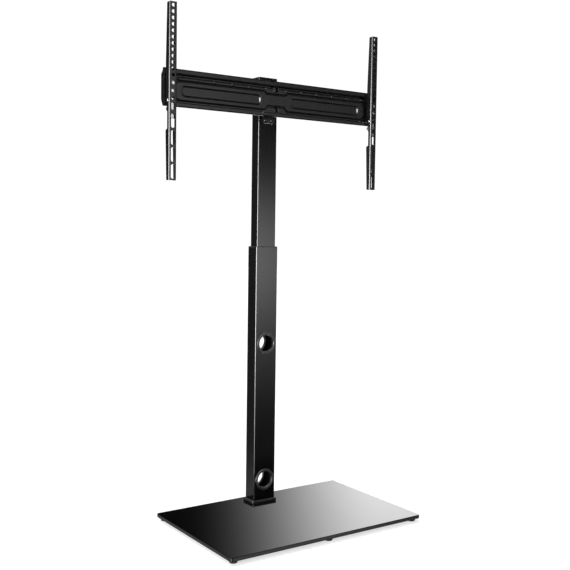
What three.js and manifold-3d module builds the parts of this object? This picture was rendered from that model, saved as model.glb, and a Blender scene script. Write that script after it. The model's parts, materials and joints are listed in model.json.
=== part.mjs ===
// Television floor stand: glass base, telescopic column, swivelling wall plate and two hook-on arms.
// Millimetres. +Z is up, the front faces -Y, and the origin is on the floor under the middle of the base.

import * as THREE from 'three';
import { mergeVertices } from 'three/addons/utils/BufferGeometryUtils.js';
import Module from 'manifold-3d';

const wasm = await Module();
wasm.setup();

// Sizes shared by all pieces
const film = 0.3;          // gap between pieces that touch: paint, plating or gasket skin
const overrun = 1;         // how far a cut runs past the face it starts from
const roundSides = 20;     // sides of a large turned piece
const padSides = 16;       // sides of a foot
const boltSides = 12;      // sides of a bolt or a small hole
const hexSides = 6;        // sides of a nut, a key socket or a small dimple
const cornerSteps = 3;     // facets round a quarter turn of a tube or plate corner
const holeSteps = 3;       // facets round a quarter turn of a screw hole or slot end

// Glass base
const glass = { width: 600, depth: 390, thickness: 10, corner: 6, chamfer: 1 };
const foot = { height: 8, topRadius: 12, bottomRadius: 9.5, edge: 1, inset: 17 };
const footColumns = 3;

// Column foot, clamped through the glass
const flangePlate = { sideMargin: 2.5, endMargin: 1, thickness: 4, corner: 3 };
const gasketThickness = 1;
const clampPlate = { sideReach: 30, depth: 40, thickness: 2.5, corner: 8, footGap: 1 };
const plinth = { clearance: 1, topWall: 2, sideWall: 1.5, draft: 1, corner: 3 };
const baseBolt = {
  radius: 4, headRadius: 7, headHeight: 2.4, sideMargin: 11, endMargin: 10.5, tipPastPlate: 2,
};

// Lower and upper tubes
const lowerTube = { width: 70, depth: 45, wall: 2, corner: 4, topAboveGlass: 722 };
const innerTube = { gap: 3, wall: 2, corner: 3.5, topAboveGlass: 1185, insertion: 150 };
const cableHole = { radius: 25, lowAboveGlass: 65.6, highBelowTop: 270.5 };
const grommet = { overlap: 5, lining: 2, proud: 2.6, rim: 1.2, mouth: 1.6, barb: 0.8, barbLength: 3.2 };
const sleeve = { length: 50, lip: 2, running: 0.4 };
const glide = { length: 45, floor: 3, throat: 3, running: 0.3 };
const topCap = { thickness: 3, plugLength: 14, plugWall: 2 };
const clampBolt = { radius: 4, bossRadius: 8, bossHeight: 6, headRadius: 6.5, headHeight: 7 };
const clampBoltDrops = { upper: 18, lower: 40 };
const hexKey = { acrossCorners: 6, depth: 3.5 };

// Wall plate: its levels are measured down from the top edge and forward from the rear plane
const plate = { height: 95.5, topAboveGlass: 1170, halfLength: 336.3, sheet: 2, bend: 2.4, lipForward: 17 };
const lip = { fold: 8, frontDrop: 11 };
const groove = { top: 13.5, height: 7 };
const railBand = { height: 6.5, behindLip: 4 };
const backSheet = { behindLip: 8 };
const bottomLip = { rise: 8 };
const returnFlange = { slope: 12.5, height: 8 };
const panelSize = { topGap: 4, footMargin: 18.5, endMargin: 27.3, behindLip: 3.5, endRadius: 19 };
const pad = { inner: 50, endMargin: 23, edgeMargin: 10.5, corner: 10, depth: 3.2, draft: 1.6 };
const bead = { footMargin: 12, height: 4, endMargin: 18.3, rise: 1.2 };
const hubTab = { baseHalf: 40, tipHalf: 27, upperLength: 6.5, lowerLength: 7, margin: 3 };
const hubCup = { belowGroove: 2, footMargin: 18.5, innerRadius: 7.5, wall: 1.8, boltClearance: 0.4 };
const dimple = { radius: 2.6, rise: 1.5, first: 32, endMargin: 39.3, rows: 6, crownShare: 0.5 };
const endCap = { thickness: 3.2, plug: 9, plugGap: 1, noseDrop: 6, rearTop: 15.5, rearFoot: 18 };

// Swivel between the column and the wall plate
const pivot = { radius: 4, headRadius: 6.5, headHeight: 4, nutRadius: 7.2, nutHeight: 5.6 };
const ear = { tipRadius: 8, thickness: 3.5, washerGap: 2, washerThickness: 1.4, frontGap: 0.7, rearGap: 1.2 };
const swivelWeb = { halfWidth: 30, thickness: 3, earRoot: 20, corner: 6, edgeMargin: 6, nutClearance: 0.95 };
const columnWeb = { halfWidth: 18.5, thickness: 4, corner: 6, tabDrop: 14.5, topMargin: 8 };
const bracketScrew = { radius: 3, headRadius: 4.8, headHeight: 3.2, halfSpacing: 9.5, tabRise: 7.5, tip: 4 };
const hubBolt = { radius: 3, headRadius: 5.6, headHeight: 3.6, nutRadius: 5.6, nutHeight: 5 };

// Television arms
const arm = {
  length: 440, halfWidth: 11, wall: 2, fold: 3, aheadOfPlate: 22, topAbovePlate: 158.5, corner: 2.5,
};
const flange = {
  top: 13.5, plateGap: 3, shallow: 10.5, bottom: 14, deepAbovePlate: 15.5, cutLength: 61, ease: 7, neck: 6,
};
const hook = { reachGap: 0.6, backGap: 0.4, fingerTop: 4.5, seatGap: 0.4 };
const armHole = { radius: 4.5, first: 8.9, lastAboveRivet: 19.27, count: 12 };
const belowRivet = { middleHole: 19.5, lowerHole: 38, shortSlot: 48, shortSlotLength: 19, longSlots: 75 };
const armSlots = { count: 4, bridge: 6, endMargin: 4 };

// Latch that locks each arm under the plate
const latch = { pivotAbovePlateFoot: 11.5, pivotBehindFace: 9, wall: 2, clearance: 0.5, openDegrees: 16 };
const latchBody = {
  front: 5, headRise: 7, headRear: 6, noseRear: 12.5, noseTop: 17, noseLength: 9, tail: 44,
};
const catchFinger = { thickness: 2.7, lipGap: 2, rearGap: 1.9, drop: 4.6, gap: 0.5 };
const latchPin = { radius: 2.5, headRadius: 4.2, headHeight: 1.3 };
const leaf = {
  halfWidth: 5.5, thickness: 0.9, kick: 3, kickLength: 12, headroom: 3, topMargin: 6,
  rivetAbovePivot: 43.5,
};
const leafRivet = { neckRadius: 2.2, headRadius: 4, headHeight: 1.2, holeShare: 1.12 };

// Pieces of the column that follow from the lower tube
const footPlate = {
  width: lowerTube.width + 2 * flangePlate.sideMargin,
  depth: lowerTube.depth + 2 * flangePlate.endMargin,
  thickness: flangePlate.thickness,
  corner: flangePlate.corner,
};
const clampSheet = {
  width: lowerTube.width + 2 * clampPlate.sideReach,
  depth: clampPlate.depth,
  corner: clampPlate.corner,
};
const boltReach = {
  x: lowerTube.width / 2 - lowerTube.wall - baseBolt.sideMargin,
  y: lowerTube.depth / 2 - lowerTube.wall - baseBolt.endMargin,
};
const upperTube = {
  width: lowerTube.width - 2 * (lowerTube.wall + innerTube.gap),
  depth: lowerTube.depth - 2 * (lowerTube.wall + innerTube.gap),
  wall: innerTube.wall,
  corner: innerTube.corner,
};
const cableHoleHeights = {
  lower: cableHole.lowAboveGlass,
  upper: lowerTube.topAboveGlass - cableHole.highBelowTop,
};

// Levels of the wall plate that follow from its lip, its groove and its foot
const railGroove = { top: groove.top, bottom: groove.top + groove.height };
const rail = { forward: plate.lipForward - railBand.behindLip, bottom: railGroove.bottom + railBand.height };
const backForward = plate.lipForward - backSheet.behindLip;
const panel = {
  top: rail.bottom + panelSize.topGap,
  bottom: plate.height - panelSize.footMargin,
  half: plate.halfLength - panelSize.endMargin,
  forward: plate.lipForward - panelSize.behindLip,
  endRadius: panelSize.endRadius,
};
const padTop = panel.top + pad.edgeMargin;
const padBottom = panel.bottom - pad.edgeMargin;
const padOuter = panel.half - pad.endMargin;
const beadBottom = plate.height - bead.footMargin;
const upperTabTip = rail.bottom + hubTab.upperLength;
const lowerTabTip = panel.bottom - hubTab.lowerLength;
const hubDrops = { upper: railGroove.bottom + hubCup.belowGroove, lower: plate.height - hubCup.footMargin };
const capRearBottom = plate.height - endCap.rearFoot;

// Heights and depths that follow from the sizes above
const columnSetback = foot.inset + foot.topRadius + clampPlate.footGap + clampPlate.depth / 2;
const columnY = glass.depth / 2 - columnSetback;
const glassTop = foot.height + glass.thickness;
const footPlateBottom = glassTop + film + gasketThickness + film;
const footPlateTop = footPlateBottom + footPlate.thickness;
const lowerTop = glassTop + lowerTube.topAboveGlass;
const lowerRim = lowerTop - sleeve.lip - film;
const upperTop = glassTop + innerTube.topAboveGlass;
const upperRim = upperTop - topCap.thickness - film;
const upperFoot = lowerTop - innerTube.insertion;
const tubeFrontY = columnY - upperTube.depth / 2;
const pivotY = tubeFrontY - film - columnWeb.thickness - ear.rearGap - ear.tipRadius;
const plateRearY = pivotY - ear.tipRadius - ear.frontGap - swivelWeb.thickness - film;
const plateFrontY = plateRearY - plate.lipForward;
const plateTop = glassTop + plate.topAboveGlass;
const plateFoot = plateTop - plate.height;
const upperHubZ = plateTop - hubDrops.upper;
const lowerHubZ = plateTop - hubDrops.lower;
const hingeMiddleZ = (upperHubZ + lowerHubZ) / 2;
const armFaceY = plateFrontY - arm.aheadOfPlate;
const armTop = plateTop + arm.topAbovePlate;
const armSpread = plate.halfLength - arm.halfWidth - film;
const flangeDeep = arm.aheadOfPlate - flange.plateGap;
const latchPivotY = armFaceY + latch.pivotBehindFace;
const latchPivotZ = plateFoot + latch.pivotAbovePlateFoot;
const rivetDrop = armTop - latchPivotZ - leaf.rivetAbovePivot;

// Finishes
const finishes = {
  powderCoat: { color: 0x17171a, roughness: 0.42, metalness: 0.35 },
  tubeCoat: { color: 0x1b1b1e, roughness: 0.34, metalness: 0.35 },
  blackGlass: { color: 0x08080a, roughness: 0.06, metalness: 0 },
  blackPlastic: { color: 0x202022, roughness: 0.6, metalness: 0 },
  rubber: { color: 0x151515, roughness: 0.9, metalness: 0 },
  zinc: { color: 0xb9bcc0, roughness: 0.32, metalness: 0.9 },
  nylon: { color: 0xd8d6cf, roughness: 0.5, metalness: 0 },
  blackScrew: { color: 0x1a1a1c, roughness: 0.35, metalness: 0.8 },
};

// Turning a geometry into a solid that can be cut and joined

function solidOf(geometry) {
  const bare = geometry.clone();
  bare.deleteAttribute('normal');
  bare.deleteAttribute('uv');
  const merged = mergeVertices(bare);
  const position = merged.getAttribute('position');
  const index = merged.getIndex().array;
  const faces = [];
  let sixVolume = 0;
  const a = new THREE.Vector3();
  const b = new THREE.Vector3();
  const c = new THREE.Vector3();
  for (let i = 0; i < index.length; i += 3) {
    const face = [index[i], index[i + 1], index[i + 2]];
    if (new Set(face).size === face.length) {
      faces.push(face);
      a.fromBufferAttribute(position, face[0]);
      b.fromBufferAttribute(position, face[1]);
      c.fromBufferAttribute(position, face[2]);
      sixVolume += a.dot(b.cross(c));
    }
  }
  const outward = sixVolume < 0 ? faces.map(([p, q, r]) => [p, r, q]) : faces;
  return new wasm.Manifold(new wasm.Mesh({
    numProp: 3,
    vertProperties: new Float32Array(position.array),
    triVerts: new Uint32Array(outward.flat()),
  }));
}

function meshOf(name, solid, finish) {
  const data = solid.getMesh();
  const geometry = new THREE.BufferGeometry();
  geometry.setAttribute('position', new THREE.BufferAttribute(new Float32Array(data.vertProperties), 3));
  geometry.setIndex(new THREE.BufferAttribute(new Uint32Array(data.triVerts), 1));
  geometry.computeVertexNormals();
  const mesh = new THREE.Mesh(geometry, new THREE.MeshStandardMaterial(finish));
  mesh.name = name;
  return mesh;
}

function placed(mesh, x, y, z) {
  mesh.position.set(x, y, z);
  return mesh;
}

// Outlines

function roundedRect(width, depth, corner) {
  const x = width / 2;
  const y = depth / 2;
  const r = Math.min(corner, x, y);
  const shape = new THREE.Shape();
  shape.absarc(x - r, y - r, r, 0, Math.PI / 2);
  shape.absarc(r - x, y - r, r, Math.PI / 2, Math.PI);
  shape.absarc(r - x, r - y, r, Math.PI, Math.PI * 1.5);
  shape.absarc(x - r, r - y, r, Math.PI * 1.5, Math.PI * 2);
  shape.closePath();
  return shape;
}

function polygon(points) {
  return new THREE.Shape(points.map(([u, v]) => new THREE.Vector2(u, v)));
}

// Replaces each corner of a line by an arc of the given radius, as a bend in sheet or a broken edge.
function softened(points, radius, steps, closed) {
  const result = [];
  points.forEach((point, i) => {
    const isEnd = !closed && (i === 0 || i === points.length - 1);
    if (isEnd) {
      result.push(point);
      return;
    }
    const here = new THREE.Vector2(...point);
    const before = new THREE.Vector2(...points[(i + points.length - 1) % points.length]).sub(here);
    const after = new THREE.Vector2(...points[(i + 1) % points.length]).sub(here);
    const halfAngle = before.angleTo(after) / 2;
    const room = Math.min(before.length(), after.length()) / 2;
    const reach = Math.min(radius / Math.tan(halfAngle), room);
    const start = before.clone().setLength(reach).add(here);
    const end = after.clone().setLength(reach).add(here);
    for (let k = 0; k <= steps; k += 1) {
      const t = k / steps;
      const curve = new THREE.QuadraticBezierCurve(start, here, end).getPoint(t);
      result.push([curve.x, curve.y]);
    }
  });
  return result;
}

// Gives a line of sheet its thickness: one side out, the other side back.
function sheetOutline(points, thickness) {
  const sharpestShare = 1 / 4;
  const side = (sign) => points.map(([u, v], i) => {
    const here = new THREE.Vector2(u, v);
    const back = i > 0 ? here.clone().sub(new THREE.Vector2(...points[i - 1])).normalize() : null;
    const ahead = i < points.length - 1 ? new THREE.Vector2(...points[i + 1]).sub(here).normalize() : null;
    const along = (back ?? ahead).clone().add(ahead ?? back).normalize();
    const spread = back && ahead ? Math.max(along.dot(back), sharpestShare) : 1;
    const offset = (sign * thickness) / 2 / spread;
    return [u - along.y * offset, v + along.x * offset];
  });
  return [...side(1), ...side(-1).reverse()];
}

// The outline code doubles the steps of an arc, so it is given half of what is wanted.
function halfOf(steps) {
  return steps / 2;
}

// Prisms: an outline in XY pulled up, in YZ pulled along X, or in XZ pulled from the rear to the front

function pulledUp(shape, bottom, top, steps = cornerSteps) {
  const geometry = new THREE.ExtrudeGeometry(shape, {
    depth: top - bottom, bevelEnabled: false, curveSegments: halfOf(steps),
  });
  return solidOf(geometry).translate([0, 0, bottom]);
}

function pulledAlongX(shape, left, right, steps = cornerSteps) {
  const geometry = new THREE.ExtrudeGeometry(shape, {
    depth: right - left, bevelEnabled: false, curveSegments: halfOf(steps),
  });
  const turn = new THREE.Matrix4().makeBasis(
    new THREE.Vector3(0, 1, 0), new THREE.Vector3(0, 0, 1), new THREE.Vector3(1, 0, 0),
  );
  return solidOf(geometry.applyMatrix4(turn)).translate([left, 0, 0]);
}

function pulledForward(shape, rearY, frontY, steps = cornerSteps) {
  const geometry = new THREE.ExtrudeGeometry(shape, {
    depth: rearY - frontY, bevelEnabled: false, curveSegments: halfOf(steps),
  });
  const turn = new THREE.Matrix4().makeBasis(
    new THREE.Vector3(1, 0, 0), new THREE.Vector3(0, 0, 1), new THREE.Vector3(0, -1, 0),
  );
  return solidOf(geometry.applyMatrix4(turn)).translate([0, rearY, 0]);
}

// Turned pieces: the profile is [radius, distance along the axis]

function turned(profile, axis, sides) {
  const points = profile.map(([radius, along]) => new THREE.Vector2(radius, along));
  const geometry = new THREE.LatheGeometry(points, sides);
  if (axis === 'z') {
    geometry.rotateX(Math.PI / 2);
  }
  if (axis === 'x') {
    geometry.rotateZ(-Math.PI / 2);
  }
  return solidOf(geometry);
}

function rod(radius, from, to, axis, sides = boltSides) {
  return turned([[0, from], [radius, from], [radius, to], [0, to]], axis, sides);
}

// A rounded rectangular tube wall between two heights
function tubeWall(outerWidth, outerDepth, corner, wall, bottom, top) {
  const outer = pulledUp(roundedRect(outerWidth, outerDepth, corner), bottom, top);
  const inside = roundedRect(outerWidth - 2 * wall, outerDepth - 2 * wall, corner - wall);
  return outer.subtract(pulledUp(inside, bottom - overrun, top + overrun));
}

function atBaseBolts(place) {
  [-1, 1].forEach((sideX) => [-1, 1].forEach((sideY) => {
    place(sideX * boltReach.x, sideY * boltReach.y, sideX, sideY);
  }));
}

function withBaseBoltHoles(solid, bottom, top) {
  let result = solid;
  atBaseBolts((x, y) => {
    const hole = rod(baseBolt.radius + film, bottom - overrun, top + overrun, 'z');
    result = result.subtract(hole.translate([x, y, 0]));
  });
  return result;
}

// Base

function makeGlass() {
  const outline = roundedRect(
    glass.width - 2 * glass.chamfer, glass.depth - 2 * glass.chamfer, glass.corner - glass.chamfer,
  );
  const geometry = new THREE.ExtrudeGeometry(outline, {
    depth: glass.thickness - 2 * glass.chamfer,
    bevelEnabled: true,
    bevelThickness: glass.chamfer,
    bevelSize: glass.chamfer,
    bevelSegments: 1,
    curveSegments: halfOf(cornerSteps),
  });
  const slab = solidOf(geometry).translate([0, -columnY, glass.chamfer]);
  const drilled = withBaseBoltHoles(slab, 0, glass.thickness);
  return meshOf('glass_base', drilled.translate([0, columnY, 0]), finishes.blackGlass);
}

function makeFoot(name) {
  const profile = [
    [0, 0],
    [foot.bottomRadius - foot.edge, 0],
    [foot.bottomRadius, foot.edge],
    [foot.topRadius, foot.height - film - foot.edge],
    [foot.topRadius, foot.height - film],
    [0, foot.height - film],
  ];
  return meshOf(name, turned(profile, 'z', padSides), finishes.rubber);
}

function makeFeet() {
  const group = new THREE.Group();
  const columnNames = ['left', 'middle', 'right'];
  const reachX = glass.width / 2 - foot.inset;
  const reachY = glass.depth / 2 - foot.inset;
  for (let column = 0; column < footColumns; column += 1) {
    const x = -reachX + (2 * reachX * column) / (footColumns - 1);
    group.add(placed(makeFoot(`foot_front_${columnNames[column]}`), x, -reachY, 0));
    group.add(placed(makeFoot(`foot_rear_${columnNames[column]}`), x, reachY, 0));
  }
  return group;
}

function makeFlatPiece(name, size, thickness, finish) {
  const flat = pulledUp(roundedRect(size.width, size.depth, size.corner), 0, thickness);
  return meshOf(name, withBaseBoltHoles(flat, 0, thickness), finish);
}

function makeBaseBolt(name, headBottom) {
  const length = footPlateTop + baseBolt.tipPastPlate - headBottom;
  const solid = rod(baseBolt.headRadius, 0, baseBolt.headHeight, 'z')
    .add(rod(baseBolt.radius, 0, length, 'z'));
  return meshOf(name, solid, finishes.zinc);
}

function makeClampStack() {
  const group = new THREE.Group();
  const lowerGasketZ = foot.height - film - gasketThickness;
  const clampPlateZ = lowerGasketZ - film - clampPlate.thickness;
  const headZ = clampPlateZ - film - baseBolt.headHeight;
  const upperGasketZ = glassTop + film;
  const lowerGasket = makeFlatPiece('lower_gasket', clampSheet, gasketThickness, finishes.rubber);
  const upperGasket = makeFlatPiece('upper_gasket', footPlate, gasketThickness, finishes.rubber);
  const plateBelow = makeFlatPiece('clamp_plate', clampSheet, clampPlate.thickness, finishes.powderCoat);
  group.add(placed(lowerGasket, 0, 0, lowerGasketZ));
  group.add(placed(plateBelow, 0, 0, clampPlateZ));
  group.add(placed(upperGasket, 0, 0, upperGasketZ));
  atBaseBolts((x, y, sideX, sideY) => {
    const name = `base_bolt_${sideY < 0 ? 'front' : 'rear'}_${sideX < 0 ? 'left' : 'right'}`;
    group.add(placed(makeBaseBolt(name, headZ), x, y, headZ));
  });
  return group;
}

// A low cover that drops over the tube and hides its foot plate
function makePlinth() {
  const height = gasketThickness + film + footPlate.thickness + film + plinth.topWall;
  const width = footPlate.width + 2 * (plinth.clearance + plinth.sideWall);
  const depth = footPlate.depth + 2 * (plinth.clearance + plinth.sideWall);
  const outline = roundedRect(
    width - 2 * plinth.draft, depth - 2 * plinth.draft, plinth.corner,
  );
  const skirt = new THREE.ExtrudeGeometry(outline, {
    depth: height - 2 * plinth.draft,
    bevelEnabled: true,
    bevelThickness: plinth.draft,
    bevelSize: plinth.draft,
    bevelSegments: 2,
    curveSegments: halfOf(cornerSteps),
  });
  const lowerHalf = pulledUp(roundedRect(width, depth, plinth.corner + plinth.draft), 0, height / 2);
  const inside = roundedRect(width - 2 * plinth.sideWall, depth - 2 * plinth.sideWall, plinth.corner);
  const throat = roundedRect(lowerTube.width + 2 * film, lowerTube.depth + 2 * film, lowerTube.corner + film);
  const cover = solidOf(skirt).translate([0, 0, plinth.draft])
    .add(lowerHalf)
    .subtract(pulledUp(inside, -overrun, height - plinth.topWall))
    .subtract(pulledUp(throat, -overrun, height + overrun));
  return meshOf('plinth_cover', cover, finishes.blackPlastic);
}

// Column

function clampBoltHeights() {
  return {
    upper: lowerRim - clampBoltDrops.upper,
    lower: lowerRim - clampBoltDrops.lower,
  };
}

// Lower tube with its welded foot plate, cable holes and threaded bosses. Local height zero is the glass top.
function makeLowerColumn() {
  const bottom = footPlateBottom - glassTop;
  const floorTop = footPlateTop - glassTop;
  const top = lowerRim - glassTop;
  const halfDepth = lowerTube.depth / 2;
  const flangeOutline = roundedRect(footPlate.width, footPlate.depth, footPlate.corner);
  const weldZ = floorTop - footPlate.thickness / 2;
  let solid = tubeWall(lowerTube.width, lowerTube.depth, lowerTube.corner, lowerTube.wall, weldZ, top)
    .add(pulledUp(flangeOutline, bottom, floorTop));
  solid = withBaseBoltHoles(solid, bottom, floorTop);
  Object.values(cableHoleHeights).forEach((height) => {
    const drill = rod(cableHole.radius, -halfDepth - overrun, halfDepth + overrun, 'y', roundSides);
    solid = solid.subtract(drill.translate([0, 0, height]));
  });
  Object.values(clampBoltHeights()).forEach((height) => {
    const inner = halfDepth - lowerTube.wall / 2;
    const boss = rod(clampBolt.bossRadius, inner, halfDepth + clampBolt.bossHeight, 'y');
    const bore = rod(
      clampBolt.radius + film, inner - lowerTube.wall, halfDepth + clampBolt.bossHeight + overrun, 'y',
    );
    solid = solid.add(boss.translate([0, 0, height - glassTop]))
      .subtract(bore.translate([0, 0, height - glassTop]));
  });
  return meshOf('lower_column', solid, finishes.tubeCoat);
}

// Snap-in ring: distances run out of the tube from its face
function makeGrommet(name, facesFront) {
  const neck = cableHole.radius - film;
  const catchStart = -lowerTube.wall - film;
  const tail = catchStart - grommet.barbLength;
  const boreRadius = cableHole.radius - grommet.lining;
  const flangeRadius = cableHole.radius + grommet.overlap;
  const profile = [
    [boreRadius, tail],
    [neck - grommet.barb, tail],
    [neck + grommet.barb, catchStart - grommet.barb],
    [neck, catchStart],
    [neck, film],
    [flangeRadius, film],
    [flangeRadius, grommet.proud - grommet.rim],
    [flangeRadius - grommet.rim, grommet.proud],
    [boreRadius + grommet.mouth, grommet.proud],
    [boreRadius, grommet.proud - grommet.mouth],
    [boreRadius, tail],
  ];
  const solid = turned(profile, 'y', roundSides);
  const mesh = meshOf(name, facesFront ? solid.mirror([0, 1, 0]) : solid, finishes.blackPlastic);
  return placed(mesh, 0, (facesFront ? -1 : 1) * (lowerTube.depth / 2), 0);
}

function makeGrommets() {
  const group = new THREE.Group();
  Object.entries(cableHoleHeights).forEach(([level, height]) => {
    const pair = new THREE.Group();
    pair.add(makeGrommet(`grommet_front_${level}`, true));
    pair.add(makeGrommet(`grommet_rear_${level}`, false));
    pair.position.z = height;
    group.add(pair);
  });
  return group;
}

// Plastic bush in the mouth of the lower tube, with a lip on the rim
function makeGuideSleeve() {
  const outerWidth = lowerTube.width - 2 * lowerTube.wall - 2 * film;
  const outerDepth = lowerTube.depth - 2 * lowerTube.wall - 2 * film;
  const throat = roundedRect(
    upperTube.width + 2 * sleeve.running, upperTube.depth + 2 * sleeve.running, upperTube.corner,
  );
  const rim = sleeve.length;
  const lipTop = rim + film + sleeve.lip;
  const bush = roundedRect(outerWidth, outerDepth, lowerTube.corner - lowerTube.wall);
  const lipOutline = roundedRect(lowerTube.width, lowerTube.depth, lowerTube.corner);
  let solid = pulledUp(bush, 0, lipTop - film)
    .add(pulledUp(lipOutline, rim + film, lipTop))
    .subtract(pulledUp(throat, -overrun, lipTop + overrun));
  Object.values(clampBoltDrops).forEach((drop) => {
    const hole = rod(clampBolt.radius + film, 0, outerDepth, 'y');
    solid = solid.subtract(hole.translate([0, 0, rim - drop]));
  });
  const mesh = meshOf('guide_sleeve', solid, finishes.blackPlastic);
  return placed(mesh, 0, 0, lowerRim - glassTop - sleeve.length);
}

function hexSocket(face, axis) {
  return rod(hexKey.acrossCorners / 2, face - hexKey.depth, face + overrun, axis, hexSides);
}

function makeClampBolt(name) {
  const tip = upperTube.depth / 2 + film;
  const headFrom = lowerTube.depth / 2 + clampBolt.bossHeight + film;
  const headTo = headFrom + clampBolt.headHeight;
  const solid = rod(clampBolt.radius, tip, headFrom + film, 'y')
    .add(rod(clampBolt.headRadius, headFrom, headTo, 'y'))
    .subtract(hexSocket(headTo, 'y'));
  return meshOf(name, solid, finishes.blackScrew);
}

// Mast: upper tube with its cap and glide. Local height zero is the foot of the tube.

function makeUpperColumn() {
  const length = upperRim - upperFoot;
  let solid = tubeWall(upperTube.width, upperTube.depth, upperTube.corner, upperTube.wall, 0, length);
  bracketScrewPlaces().forEach(({ x, z }) => {
    const hole = rod(bracketScrew.radius + film, -upperTube.depth / 2 - overrun, 0, 'y');
    solid = solid.subtract(hole.translate([x, 0, z - upperFoot]));
  });
  return meshOf('upper_column', solid, finishes.tubeCoat);
}

function makeTopCap() {
  const innerWidth = upperTube.width - 2 * upperTube.wall - 2 * film;
  const innerDepth = upperTube.depth - 2 * upperTube.wall - 2 * film;
  const corner = upperTube.corner - upperTube.wall + topCap.plugWall;
  const plugTop = film + topCap.thickness / 2;
  const plug = tubeWall(innerWidth, innerDepth, corner, topCap.plugWall, -topCap.plugLength, plugTop);
  const lid = new THREE.ExtrudeGeometry(
    roundedRect(upperTube.width - topCap.thickness, upperTube.depth - topCap.thickness, upperTube.corner),
    {
      depth: topCap.thickness / 2,
      bevelEnabled: true,
      bevelThickness: topCap.thickness / 4,
      bevelSize: topCap.thickness / 2,
      bevelSegments: 2,
      curveSegments: halfOf(cornerSteps),
    },
  );
  const solid = plug.add(solidOf(lid).translate([0, 0, film + topCap.thickness / 4]));
  return placed(meshOf('top_cap', solid, finishes.blackPlastic), 0, 0, upperRim - upperFoot);
}

function makeGlide() {
  const outerWidth = lowerTube.width - 2 * lowerTube.wall - 2 * glide.running;
  const outerDepth = lowerTube.depth - 2 * lowerTube.wall - 2 * glide.running;
  const socket = roundedRect(upperTube.width + 2 * film, upperTube.depth + 2 * film, upperTube.corner + film);
  const throat = roundedRect(
    upperTube.width - 2 * glide.throat, upperTube.depth - 2 * glide.throat, upperTube.corner,
  );
  const solid = pulledUp(
    roundedRect(outerWidth, outerDepth, lowerTube.corner - lowerTube.wall), -glide.floor - film, glide.length,
  )
    .subtract(pulledUp(socket, -film, glide.length + overrun))
    .subtract(pulledUp(throat, -glide.floor - film - overrun, overrun));
  return meshOf('lower_glide', solid, finishes.nylon);
}

// Swivel joint. The two outer ears belong to the column bracket, the two inner ears to the swivel bracket.

function earLevels() {
  const nutRoom = hubBolt.nutRadius + swivelWeb.nutClearance + pivot.nutHeight + 2 * film;
  const innerHalf = (upperHubZ - lowerHubZ) / 2 - nutRoom - ear.thickness - ear.washerGap;
  const innerTop = hingeMiddleZ + innerHalf;
  const innerBottom = hingeMiddleZ - innerHalf;
  return {
    inner: [innerBottom, innerTop - ear.thickness],
    outer: [innerBottom - ear.washerGap - ear.thickness, innerTop + ear.washerGap],
    washer: [innerBottom - (ear.washerGap + ear.washerThickness) / 2,
      innerTop + (ear.washerGap - ear.washerThickness) / 2],
  };
}

// A bullet-shaped ear from a straight root to a round tip about the pivot
function earSolid(rootHalf, rootY, bottom) {
  const side = Math.sign(rootY);
  const shape = new THREE.Shape();
  shape.moveTo(-rootHalf, rootY);
  shape.lineTo(-ear.tipRadius, 0);
  shape.absarc(0, 0, ear.tipRadius, Math.PI, 0, side > 0 ? false : true);
  shape.lineTo(rootHalf, rootY);
  shape.closePath();
  return pulledUp(shape, bottom, bottom + ear.thickness, 2 * cornerSteps);
}

function withPivotBore(solid) {
  const levels = earLevels();
  const top = levels.outer[1] + ear.thickness;
  return solid.subtract(rod(pivot.radius + film, levels.outer[0] - overrun, top + overrun, 'z'));
}

function bracketScrewPlaces() {
  const tabZ = plateFoot - columnWeb.tabDrop + bracketScrew.tabRise;
  return [
    { name: 'lower_left', x: -bracketScrew.halfSpacing, z: tabZ },
    { name: 'lower_right', x: bracketScrew.halfSpacing, z: tabZ },
    { name: 'upper_left', x: -bracketScrew.halfSpacing, z: hingeMiddleZ },
    { name: 'upper_right', x: bracketScrew.halfSpacing, z: hingeMiddleZ },
  ];
}

// Web screwed to the front of the upper tube, with a tab that shows below the wall plate
function makeColumnBracket() {
  const levels = earLevels();
  const webRear = tubeFrontY - film - pivotY;
  const webFront = webRear - columnWeb.thickness;
  const webBottom = plateFoot - columnWeb.tabDrop;
  const webTop = levels.outer[1] + ear.thickness + columnWeb.topMargin;
  const web = roundedRect(2 * columnWeb.halfWidth, webTop - webBottom, columnWeb.corner);
  let solid = pulledForward(web, webRear, webFront).translate([0, 0, (webTop + webBottom) / 2]);
  levels.outer.forEach((level) => {
    solid = solid.add(earSolid(columnWeb.halfWidth - columnWeb.corner, webFront + film, level));
  });
  bracketScrewPlaces().forEach(({ x, z }) => {
    const hole = rod(bracketScrew.radius + film, webFront - overrun, webRear + overrun, 'y');
    solid = solid.subtract(hole.translate([x, 0, z]));
  });
  return meshOf('column_bracket', withPivotBore(solid), finishes.powderCoat);
}

function makeBracketScrew(name) {
  const webRear = tubeFrontY - film - pivotY;
  const headRear = webRear - columnWeb.thickness - film;
  const headFront = headRear - bracketScrew.headHeight;
  const dome = bracketScrew.headHeight / 3;
  const profile = [
    [0, headFront],
    [bracketScrew.headRadius - dome, headFront],
    [bracketScrew.headRadius, headFront + 2 * dome],
    [bracketScrew.headRadius, headRear],
    [bracketScrew.radius, headRear],
    [bracketScrew.radius, webRear + film + upperTube.wall + bracketScrew.tip],
    [0, webRear + film + upperTube.wall + bracketScrew.tip],
  ];
  const socketFloor = headFront + bracketScrew.headHeight / 2;
  const recess = rod(bracketScrew.headRadius / 2, headFront - overrun, socketFloor, 'y', hexSides);
  return meshOf(name, turned(profile, 'y', boltSides).subtract(recess), finishes.zinc);
}

function makePivotBolt() {
  const levels = earLevels();
  const headBottom = levels.outer[1] + ear.thickness + film;
  const tip = levels.outer[0] - film - pivot.nutHeight - film;
  const solid = rod(pivot.radius, tip, headBottom + film, 'z')
    .add(rod(pivot.headRadius, headBottom, headBottom + pivot.headHeight, 'z'));
  return meshOf('pivot_bolt', solid, finishes.zinc);
}

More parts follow.
